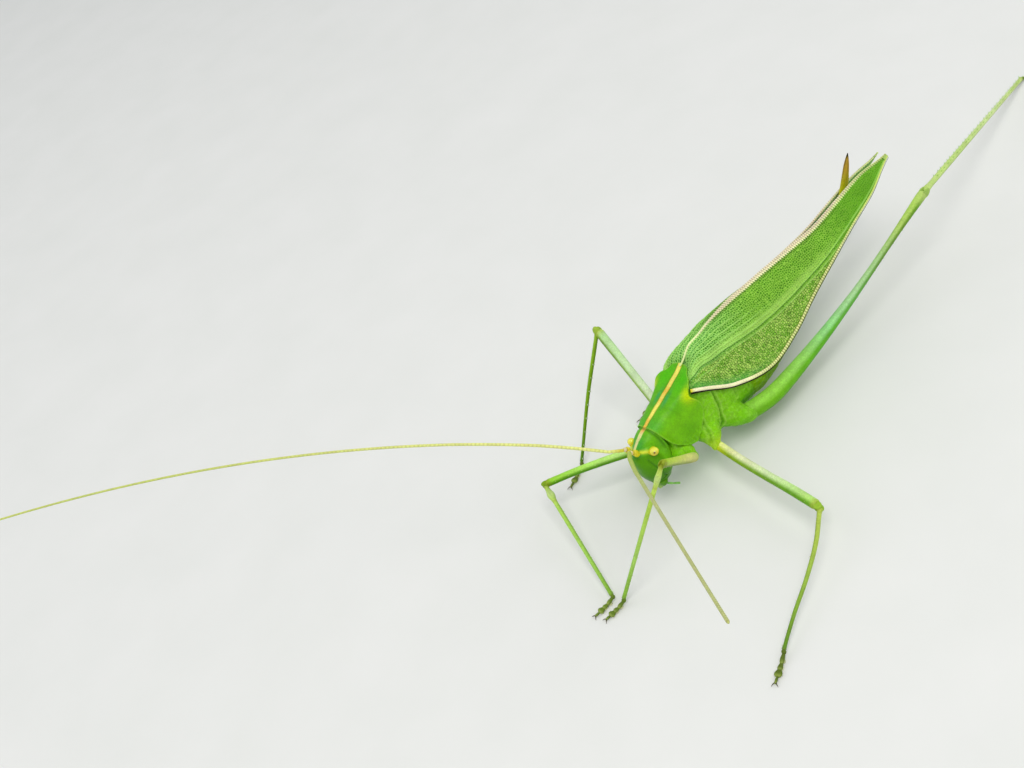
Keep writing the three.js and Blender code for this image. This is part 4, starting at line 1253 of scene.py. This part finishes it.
# ---- legs ----
# per kind of leg, mm: radii along the thigh from hip to knee, and of knee and shin; the foot's length;
# and each limb's row of spines as how many, where along the limb from and to, and how long
LEG_KINDS = {
    "fore": {
        "thigh_radii": [0.52, 0.55, 0.51, 0.47, 0.44, 0.43, 0.44],
        "knee_radius": 0.44, "shin_radius": 0.25, "foot_length": 2.9,
        "thigh_spines": (5, 0.45, 0.9, 0.16), "shin_spines": (6, 0.25, 0.95, 0.24),
        "knee_tint": (150, 160, 40), "foot_tint": (106, 128, 40), "knob_tint": (150, 168, 80),
    },
    "middle": {
        "thigh_radii": [0.52, 0.52, 0.52, 0.52, 0.53, 0.55, 0.54],
        "knee_radius": 0.48, "shin_radius": 0.24, "foot_length": 3.5,
        "thigh_spines": (5, 0.4, 0.9, 0.14), "shin_spines": (8, 0.25, 0.95, 0.22),
        "knee_tint": (176, 196, 70), "foot_tint": (96, 112, 36), "knob_tint": (140, 156, 70),
    },
    "hind": {
        "thigh_radii": [1.04, 1.05, 0.96, 0.83, 0.71, 0.59, 0.48, 0.42, 0.42, 0.49, 0.6],
        "knee_radius": 0.62, "shin_radius": 0.34, "foot_length": 4.1,
        "thigh_spines": (9, 0.5, 0.95, 0.18), "shin_spines": (30, 0.1, 0.975, 0.32),
        "knee_tint": (196, 222, 122), "foot_tint": (110, 128, 50), "knob_tint": (160, 176, 96),
    },
}
# per leg, "hind" for both hind ones: colours along the thigh from hip to knee on its upper and lower side,
# and along the shin; at what height round the thigh, -1..1, the upper colour starts and is full; how far
# thigh and shin stand above or outside a straight line, mm; how far the hip stands from its joint in the
# solids, as (forward, out, up) in mm; and how much the hearing organ below the knee swells the shin
LEGS = {
    "fore_l": {
        "upper_tints": [(232, 234, 140), (236, 234, 140), (216, 232, 100), (188, 222, 60)],
        "lower_tints": [(222, 206, 96), (156, 170, 44), (126, 150, 6), (126, 150, 8)],
        "shin_tints": [(214, 240, 106), (182, 216, 84), (170, 212, 100), (134, 182, 54)],
        "pale": (-0.55, 0.4),
        "thigh_bow": [0.0, -0.03, -0.05, -0.05, -0.05], "shin_bow": [0.0, 0.05, 0.0],
        "hip_shift": (0.2, -0.5, 0.25), "ear": 0.35,
    },
    "fore_r": {
        # the pale upper colours are partly the thigh's own colour and partly a painted highlight along its
        # top
        "upper_tints": [(226, 244, 130), (204, 244, 140), (180, 236, 100), (156, 218, 48)],
        "lower_tints": [(118, 176, 8), (104, 168, 0), (92, 162, 0), (100, 168, 0)],
        "shin_tints": [(190, 220, 100), (176, 220, 90), (166, 214, 90), (140, 186, 60)],
        "pale": (-1.0, -0.35),
        "thigh_bow": [0.0, 0.22, 0.4, 0.48, 0.36], "shin_bow": [0.0, 0.0],
        "hip_shift": (0.0, 0.0, 0.82), "ear": 0.75,
    },
    "middle_l": {
        "upper_tints": [(244, 246, 140), (242, 242, 196), (226, 242, 188), (202, 238, 152), (184, 228, 110)],
        "lower_tints": [(190, 210, 0), (146, 190, 10), (124, 178, 10), (112, 176, 10), (112, 180, 14)],
        "shin_tints": [(186, 204, 84), (168, 194, 80), (138, 174, 60), (96, 138, 34)],
        "pale": (-0.8, 0.15),
        "thigh_bow": [0.0, -0.13, 0.05, 0.4, 0.5], "shin_bow": [0.1, 0.55, 0.5, 0.15, 0.0],
        "hip_shift": (0.0, 0.0, -0.1), "ear": 0.0,
    },
    "middle_r": {
        "upper_tints": [(232, 236, 204), (226, 236, 204), (206, 236, 180), (184, 224, 150)],
        "lower_tints": [(180, 210, 110), (170, 206, 96), (150, 190, 76), (124, 166, 50)],
        "shin_tints": [(150, 190, 44), (130, 174, 20), (124, 168, 16), (84, 130, 20)],
        "pale": (-0.5, 0.1),
        "thigh_bow": [0.0, 0.0, 0.05, 0.1, 0.1], "shin_bow": [0.0, 0.2, 0.0],
        "hip_shift": (0.0, 0.0, 0.0), "ear": 0.0,
    },
    "hind": {
        # the upper colours hold a painted sheen, palest and bluest in the middle of the thigh
        "upper_tints": [
            (140, 204, 60), (150, 214, 74), (152, 214, 100), (154, 222, 140),
            (172, 214, 154), (168, 206, 136), (178, 208, 104), (180, 222, 90),
        ],
        "lower_tints": [
            (112, 184, 16), (112, 186, 12), (104, 186, 14), (98, 184, 40),
            (104, 178, 70), (110, 156, 60), (116, 156, 40), (112, 170, 30),
        ],
        "shin_tints": [(200, 226, 130), (196, 222, 130), (214, 232, 160), (190, 212, 120)],
        "pale": (0.2, 0.75),
        "thigh_bow": [0.0, -0.5, -0.9, -1.12, -1.22, -1.18, -1.0, -0.72, -0.42, -0.2],
        "shin_bow": [0.0, 0.0],
        "hip_shift": (0.0, 0.0, 0.0), "ear": 0.0,
    },
}
EAR_PLACE = 0.1                     # share of the shin from the knee to the hearing organ
HIND_SOCKET = (-1.1, 2.6, -9.0)     # where the hind thigh starts, inside its coxa
SOCKET_SHARE = 0.15                 # share of the hind thigh that bends toward its socket
ANKLE_RADIUS = 0.3                  # mm
SPINE_RADIUS = 0.055                # mm
SPINE_TAPER = np.array([1.0, 0.8, 0.45, 0.08])


def square_to(vector, axis):
    """The part of a vector at right angles to an axis, as a direction."""
    return unit(vector - axis * (vector @ axis))


def solid_joints(name, kind, side):
    """Hip, knee and ankle as the solids have them, in the row frame, mm."""
    hip = to_row(sided(HIPS[kind], side))
    knee = node_ends(f"femur_{name}", hip)[1]
    knee = knee - unit(knee - hip) * LEG_KINDS[kind]["knee_radius"] * DOME_REACH
    ankle = node_ends(f"tibia_{name}", knee)[1]
    return hip, knee, ankle - unit(ankle - knee) * ANKLE_RADIUS * DOME_REACH


def leg_frame(name, kind, side):
    """All of a leg's values, with its joints and directions in the row frame, mm.

    upper and outer point away from the inside of the knee's bend, and straight up on a hind leg.
    """
    own = LEGS.get(name) or LEGS[kind]
    hip, knee, ankle = solid_joints(name, kind, side)
    hip = hip + BODY_TURN @ sided(own["hip_shift"], side)
    thigh = unit(knee - hip)
    knee = knee + UPWARD * own["thigh_bow"][-1]
    shin = unit(ankle - knee)
    bend = UPWARD if kind == "hind" else thigh - shin
    leg = SimpleNamespace(name=name, kind=kind, side=side, **LEG_KINDS[kind], **own)
    leg.hip, leg.knee, leg.ankle = hip, knee, ankle
    leg.thigh, leg.shin = thigh, shin
    leg.upper, leg.outer = square_to(bend, thigh), square_to(bend, shin)
    return leg


def limb(shape, path, radius, over, tint, sides, flatness):
    """A bent tube with round ends; over is its upper side. tint(s, upness) gives its colour."""
    run = run_along(path)
    end = np.minimum(run / radius[0], (run[-1] - run) / radius[-1])
    dome = np.sqrt(np.clip(1 - (1 - np.clip(end, 0, 1)) ** 2, 0.02, 1))
    along = unit(np.gradient(path, axis=0))
    across = unit(np.cross(along, over))
    radius = radius * dome
    rows = rings(path, across, np.cross(across, along), radius * flatness, radius, sides)
    s, upness = np.meshgrid(run / run[-1], around(sides), indexing="ij")
    shape.tube(rows, np.clip(tint(s, upness), 0, 1))


def add_spines(shape, path, radius, row, toward, tint):
    """Two rows of short spines on the side of a limb that faces a direction."""
    count, first, last, length = row
    run = run_along(path)
    along = unit(np.gradient(path, axis=0))
    for share in np.linspace(first, last, count):
        at = np.searchsorted(run, share * run[-1])
        across = np.cross(along[at], toward)
        for turn in (1, -1):
            outward = unit(toward + across * turn * 0.75)
            base = path[at] + outward * radius[at] * 0.82
            lean = unit(outward + along[at] * 0.9)
            steady = UPWARD if abs(lean[2]) < 0.9 else (1, 0, 0)
            spine = line(base, base + lean * length, len(SPINE_TAPER))
            shape.tube(rod(spine, SPINE_TAPER * SPINE_RADIUS, 6, steady), tint)


def thigh_path(leg):
    s = 0.5 - 0.5 * np.cos(np.linspace(0, math.pi, 110))     # closer steps near both ends
    path = lerp(leg.hip - leg.thigh * 0.3, leg.knee - leg.thigh * 0.1, s[:, None])
    path = path + UPWARD * (curve(leg.thigh_bow, s) - s * leg.thigh_bow[-1])[:, None]
    if leg.kind == "hind":
        inward = to_row(sided(HIND_SOCKET, leg.side)) - path[0]
        path = path + inward * np.clip(1 - s / SOCKET_SHARE, 0, 1)[:, None] ** 2
    return path, curve(leg.thigh_radii, s)


def thigh_tint(leg, s, upness):
    low = tints(leg.lower_tints, s)
    # painted shade: the thigh's lower side darkened
    low = mixed(low, low * 0.82, ramp(upness, -0.2, -0.6))
    tint = mixed(low, tints(leg.upper_tints, s), ramp(upness, *leg.pale))
    if leg.kind == "hind":
        # painted highlight and painted shade: a lighter and a darker line along the hind thigh's top
        tint = mixed(tint, tint * 1.18, bell(upness - 0.8, 0.07) * ramp(s, 0.75, 0.55))
        tint = mixed(tint, tint * 0.86, bell(upness - 0.93, 0.035) * ramp(s, 0.6, 0.3))
    if leg.name == "middle_l":
        tint = mixed(tint, (214, 228, 26), ramp(s, 0.16, 0.0) * ramp(upness, 0.0, -0.4))
    return mixed(tint, leg.knee_tint, 0.8 * ramp(s, 0.93, 0.985))


def add_knee(shape, leg):
    """A flat round lobe on each side of the knee."""
    across = unit(np.cross(leg.thigh, leg.upper))
    axes = np.array([across, leg.upper, leg.thigh])
    radius = leg.thigh_radii[-1]
    tint = mixed(leg.lower_tints[-1], leg.knee_tint, 0.6)
    for sign in (1, -1):
        middle = leg.knee - leg.thigh * 0.15 + across * sign * radius * 0.55 - leg.upper * 0.05
        ellipsoid(shape, middle, np.array([0.22, 0.8, 1.1]) * radius, axes, tint=tint)


def shin_path(leg):
    s = np.linspace(0, 1, 80)
    path = line(leg.knee + leg.shin * 0.05, leg.ankle, 80) + leg.outer * curve(leg.shin_bow, s)[:, None]
    if leg.kind == "fore":
        profile = 1 + 0.25 * bell(s, 0.02) - 0.12 * ramp(s, 0.2, 1) + 0.1 * bell(s - 1, 0.03)
    else:
        profile = 1 + 0.35 * bell(s, 0.03) - 0.24 * ramp(s, 0.1, 1.0) + 0.25 * bell(s - 1, 0.025)
    profile += leg.ear * bell(s - EAR_PLACE, 0.035)
    return path, leg.shin_radius * profile


def shin_tint(leg, s, upness):
    tint = tints(leg.shin_tints, s)
    # painted shade: the shin darkened on its lower, inner side
    tint = mixed(tint, tint * 0.7, ramp(upness, 0.1, -0.9))
    tint = mixed(tint, leg.knee_tint, ramp(s, 0.05, 0.0))
    if leg.kind == "fore":
        tint = coated(
            tint,
            ((200, 220, 150), 0.6 * bell(s - EAR_PLACE, 0.035)),
            ((112, 124, 90), 0.85 * bell(s - EAR_PLACE, 0.022) * bell(np.abs(upness) - 0.1, 0.12)),
            ((150, 120, 40), 0.6 * bell(s - 0.16, 0.006)),
        )
    return mixed(tint, (110, 130, 50), 0.7 * ramp(s, 0.97, 1.0))


def make_leg(name, kind, side):
    leg = leg_frame(name, kind, side)
    spine_tint = mixed(leg.upper_tints[1], BROWN, 0.15)
    shape = Shape()
    path, radius = thigh_path(leg)
    limb(shape, path, radius, leg.upper, lambda s, upness: thigh_tint(leg, s, upness), 24, 0.9)
    add_spines(shape, path, radius, leg.thigh_spines, -leg.upper, spine_tint)
    add_knee(shape, leg)
    path, radius = shin_path(leg)
    limb(shape, path, radius, leg.outer, lambda s, upness: shin_tint(leg, s, upness), 16, 0.95)
    spined_side = leg.outer if kind == "hind" else -leg.outer
    add_spines(shape, path, radius, leg.shin_spines, spined_side, spine_tint)
    material = shell_material(f"leg_{name}_green", 0.4, 10.0, 0.012, 0.1, 0.15)
    nodes = [f"femur_{name}", f"tibia_{name}"]
    place(shape.mesh("leg"), f"leg_{name}", material, "leg_green", nodes, in_body=False)
    make_foot(leg)


# ---- feet ----
# profiles: a joint's half width and height along its length, as shares of its own
PLUMP = [0.62, 0.78, 0.95, 1.05, 0.95, 0.5]
LOBED = [0.55, 0.7, 0.95, 1.08, 1.0, 0.6]
# a foot's joints: from and to as shares of its length; half width, half height and top, mm; and profile
FOOT_JOINTS = [
    (0.0, 0.34, 0.22, 0.2, 0.503, PLUMP),
    (0.3, 0.52, 0.26, 0.19, 0.479, PLUMP),
    (0.48, 0.72, 0.38, 0.2, 0.46, LOBED),
    (0.66, 0.93, 0.13, 0.13, 0.36, PLUMP),
]
HEEL_RISE = 0.22        # mm, how much the first joint rises toward the ankle
PAD_TINT = (206, 208, 160)
CLAW_BROWN = (70, 46, 20)


def add_foot_joint(shape, foot, joint, rise=0.0):
    start, end, half_width, half_height, top, profile = joint
    s = np.linspace(0, 1, 16)
    run = lerp(start, end, s) * foot.length
    path = foot.heel + run[:, None] * foot.heading + UPWARD * (top - half_height)
    path = path + UPWARD * (rise * (1 - s))[:, None]
    plump = curve(profile, s)
    tint = mixed(foot.tint, foot.knob_tint, ramp(s, 0.55, 0.95))
    shape.tube(rings(path, foot.across, UPWARD, half_width * plump, half_height * plump, 16), tint)


def add_pads(shape, foot, joint):
    """A pair of pale pads under a foot's joint."""
    start, end, half_width = joint[:3]
    middle = foot.heel + foot.heading * lerp(start, end, 0.62) * foot.length + UPWARD * 0.13
    axes = np.array([foot.across, UPWARD, foot.heading])
    for sign in (1, -1):
        pad = middle + foot.across * sign * half_width * 0.55
        ellipsoid(shape, pad, (0.13, 0.11, 0.22), axes, tint=PAD_TINT)


def add_claws(shape, foot):
    angle = np.linspace(0, 1.5, 9)
    reach = 0.1 * foot.length * np.sin(angle)
    for sign in (1, -1):
        across = foot.across * sign
        root = foot.heel + foot.heading * foot.length * 0.9 + UPWARD * 0.26 + across * 0.06
        path = root + foot.heading * reach[:, None] + across * (0.28 * np.sin(angle))[:, None]
        path = path - UPWARD * (0.2 * (1 - np.cos(angle)))[:, None]
        shape.tube(rod(path, np.linspace(0.055, 0.012, 9), 8), CLAW_BROWN)


def make_foot(leg):
    node = f"tarsus_{leg.name}"
    near, far = node_ends(node, leg.ankle)
    heading = unit((far - near) * (1, 1, 0))
    foot = SimpleNamespace(
        heading=heading,
        across=np.cross(heading, UPWARD),
        length=leg.foot_length,
        heel=leg.ankle * (1, 1, 0),
        tint=leg.foot_tint,
        knob_tint=leg.knob_tint,
    )
    shape = Shape()
    ellipsoid(shape, leg.ankle - UPWARD * 0.12, (0.24, 0.24, 0.28), tint=foot.tint)
    add_foot_joint(shape, foot, FOOT_JOINTS[0], HEEL_RISE)
    for joint in FOOT_JOINTS[1:]:
        add_foot_joint(shape, foot, joint)
    for joint in FOOT_JOINTS[:3]:
        add_pads(shape, foot, joint)
    add_claws(shape, foot)
    mesh = shape.mesh("foot")
    points = points_of(mesh)
    points[:, 2] = np.maximum(points[:, 2], 0.0)
    set_points(mesh, points)
    material = shell_material(f"foot_{leg.name}_olive", 0.45, 12.0, 0.012, 0.12, 0.1)
    place(mesh, f"foot_{leg.name}", material, "foot_olive", [node], in_body=False)


# ---- ovipositor ----
# the blade's middle as (forward, up), its half height along it, and how far left of the body's middle it lies
BLADE_LINE = np.array([(-25.2, -7.0), (-27.6, -6.25), (-29.8, -4.4), (-31.4, -2.75), (-32.7, -1.42)])
BLADE_HEIGHT = [0.75, 0.9, 0.72, 0.46, 0.08]
BLADE_LEFT = -0.68
BLADE_TEETH = 60
BLADE_POINTS = 220
BLADE_SIDES = 32


def make_ovipositor():
    """A flat blade of two valves that curves upward, with fine teeth along the edges toward its tip."""
    s = np.linspace(0, 1, BLADE_POINTS)
    path = body(curve(BLADE_LINE[:, 0], s), BLADE_LEFT, curve(BLADE_LINE[:, 1], s))
    over = unit(np.cross((1, 0, 0), unit(np.gradient(path, axis=0))))
    half_width = 0.24 * ramp(s, 1.02, 0.8) + 0.02
    grid = rings(path, (1, 0, 0), over, half_width, curve(BLADE_HEIGHT, s), BLADE_SIDES)
    s, upness = np.meshgrid(s, around(BLADE_SIDES), indexing="ij")
    edge = np.abs(upness) ** 8
    seam = bell(upness + 0.05, 0.12)
    tooth = np.abs((s * BLADE_TEETH) % 1 - 0.5) * 2 * ramp(s, 0.45, 0.7)
    outward = np.sign(grid - path[:, None]) * (1, 0, 0)
    grid = grid - over[:, None] * (np.sign(upness) * 0.09 * tooth * edge)[..., None]
    grid = grid - outward * (0.07 * seam * ramp(s, 0.0, 0.1))[..., None]
    tint = coated(
        mixed((186, 190, 10), (184, 144, 40), ramp(s, 0.4, 0.85)),
        ((74, 56, 16), ramp(s, 0.5, 1.0) * 0.8 * edge + 0.4 * seam),
        ((30, 24, 6), ramp(s, 0.88, 0.95)),
    )
    shape = Shape()
    shape.tube(grid, np.clip(tint, 0, 1))
    material = shell_material("blade_olive", 0.32, 10.0, 0.01, 0.12, 0.1)
    place(shape.mesh("blade"), "ovipositor_blade", material, "blade_olive", ["ovipositor"])


# ---- stage ----
FLOOR_HALF = 1.5                        # m
FLOOR_TINTS = (np.array([0.74, 0.75, 0.72]), np.array([0.8, 0.8, 0.78]))
LAMP_AIM = Vector((0, 0, 0.01))
# offset from where all lamps point, mm, side of the square lamp, m, power, W, and colour
LAMPS = {
    "key": ((260, -120, 520), 0.34, 1.9, (1.0, 0.98, 0.94)),
    "fill": ((-360, -260, 320), 0.5, 0.6, (1, 1, 1)),
    "back": ((120, 420, 300), 0.4, 0.6, (1, 1, 1)),
}


def add_floor():
    mesh = bpy.data.meshes.new("floor")
    half = FLOOR_HALF
    corners = [(-half, -half, 0), (half, -half, 0), (half, half, 0), (-half, half, 0)]
    mesh.from_pydata(corners, [], [(0, 1, 2, 3)])
    floor = bpy.data.objects.new("floor", mesh)
    bpy.context.scene.collection.objects.link(floor)
    paint = Paint("floor_pale")
    grain = paint.noise(paint.node("ShaderNodeTexCoord").outputs["Object"], 90.0, 4.0)
    paint.set(Base_Color=paint.mix(grain, *FLOOR_TINTS), Roughness=0.8)
    mesh.materials.append(paint.material)


def add_lamp(name, offset, size, power, tint):
    data = bpy.data.lights.new(name, "AREA")
    data.shape = "SQUARE"
    data.size = size
    data.energy = power
    data.color = tint
    lamp = bpy.data.objects.new(name, data)
    bpy.context.scene.collection.objects.link(lamp)
    lamp.location = LAMP_AIM + Vector(offset) * MM
    lamp.rotation_euler = (LAMP_AIM - lamp.location).to_track_quat("-Z", "Y").to_euler()


def add_light():
    world = bpy.data.worlds.new("studio")
    bpy.context.scene.world = world
    world.use_nodes = True
    background = next(n for n in world.node_tree.nodes if n.type == "BACKGROUND")
    background.inputs["Color"].default_value = (0.93, 0.96, 1.0, 1)
    background.inputs["Strength"].default_value = 0.5
    for name, lamp in LAMPS.items():
        add_lamp(name, *lamp)


# ---- everything ----
bpy.context.scene.view_settings.view_transform = "Standard"
add_camera()
make_trunk()
make_pronotum()
make_head()
make_mouthparts()
for suffix, side in SIDES.items():
    make_eye(suffix, side)
    make_palp(suffix, side)
    make_scape(suffix, side)
    make_antenna(suffix)
    make_wing(suffix)
    for kind in HIPS:
        make_leg(f"{kind}_{suffix}", kind, side)
make_ovipositor()
add_floor()
add_light()
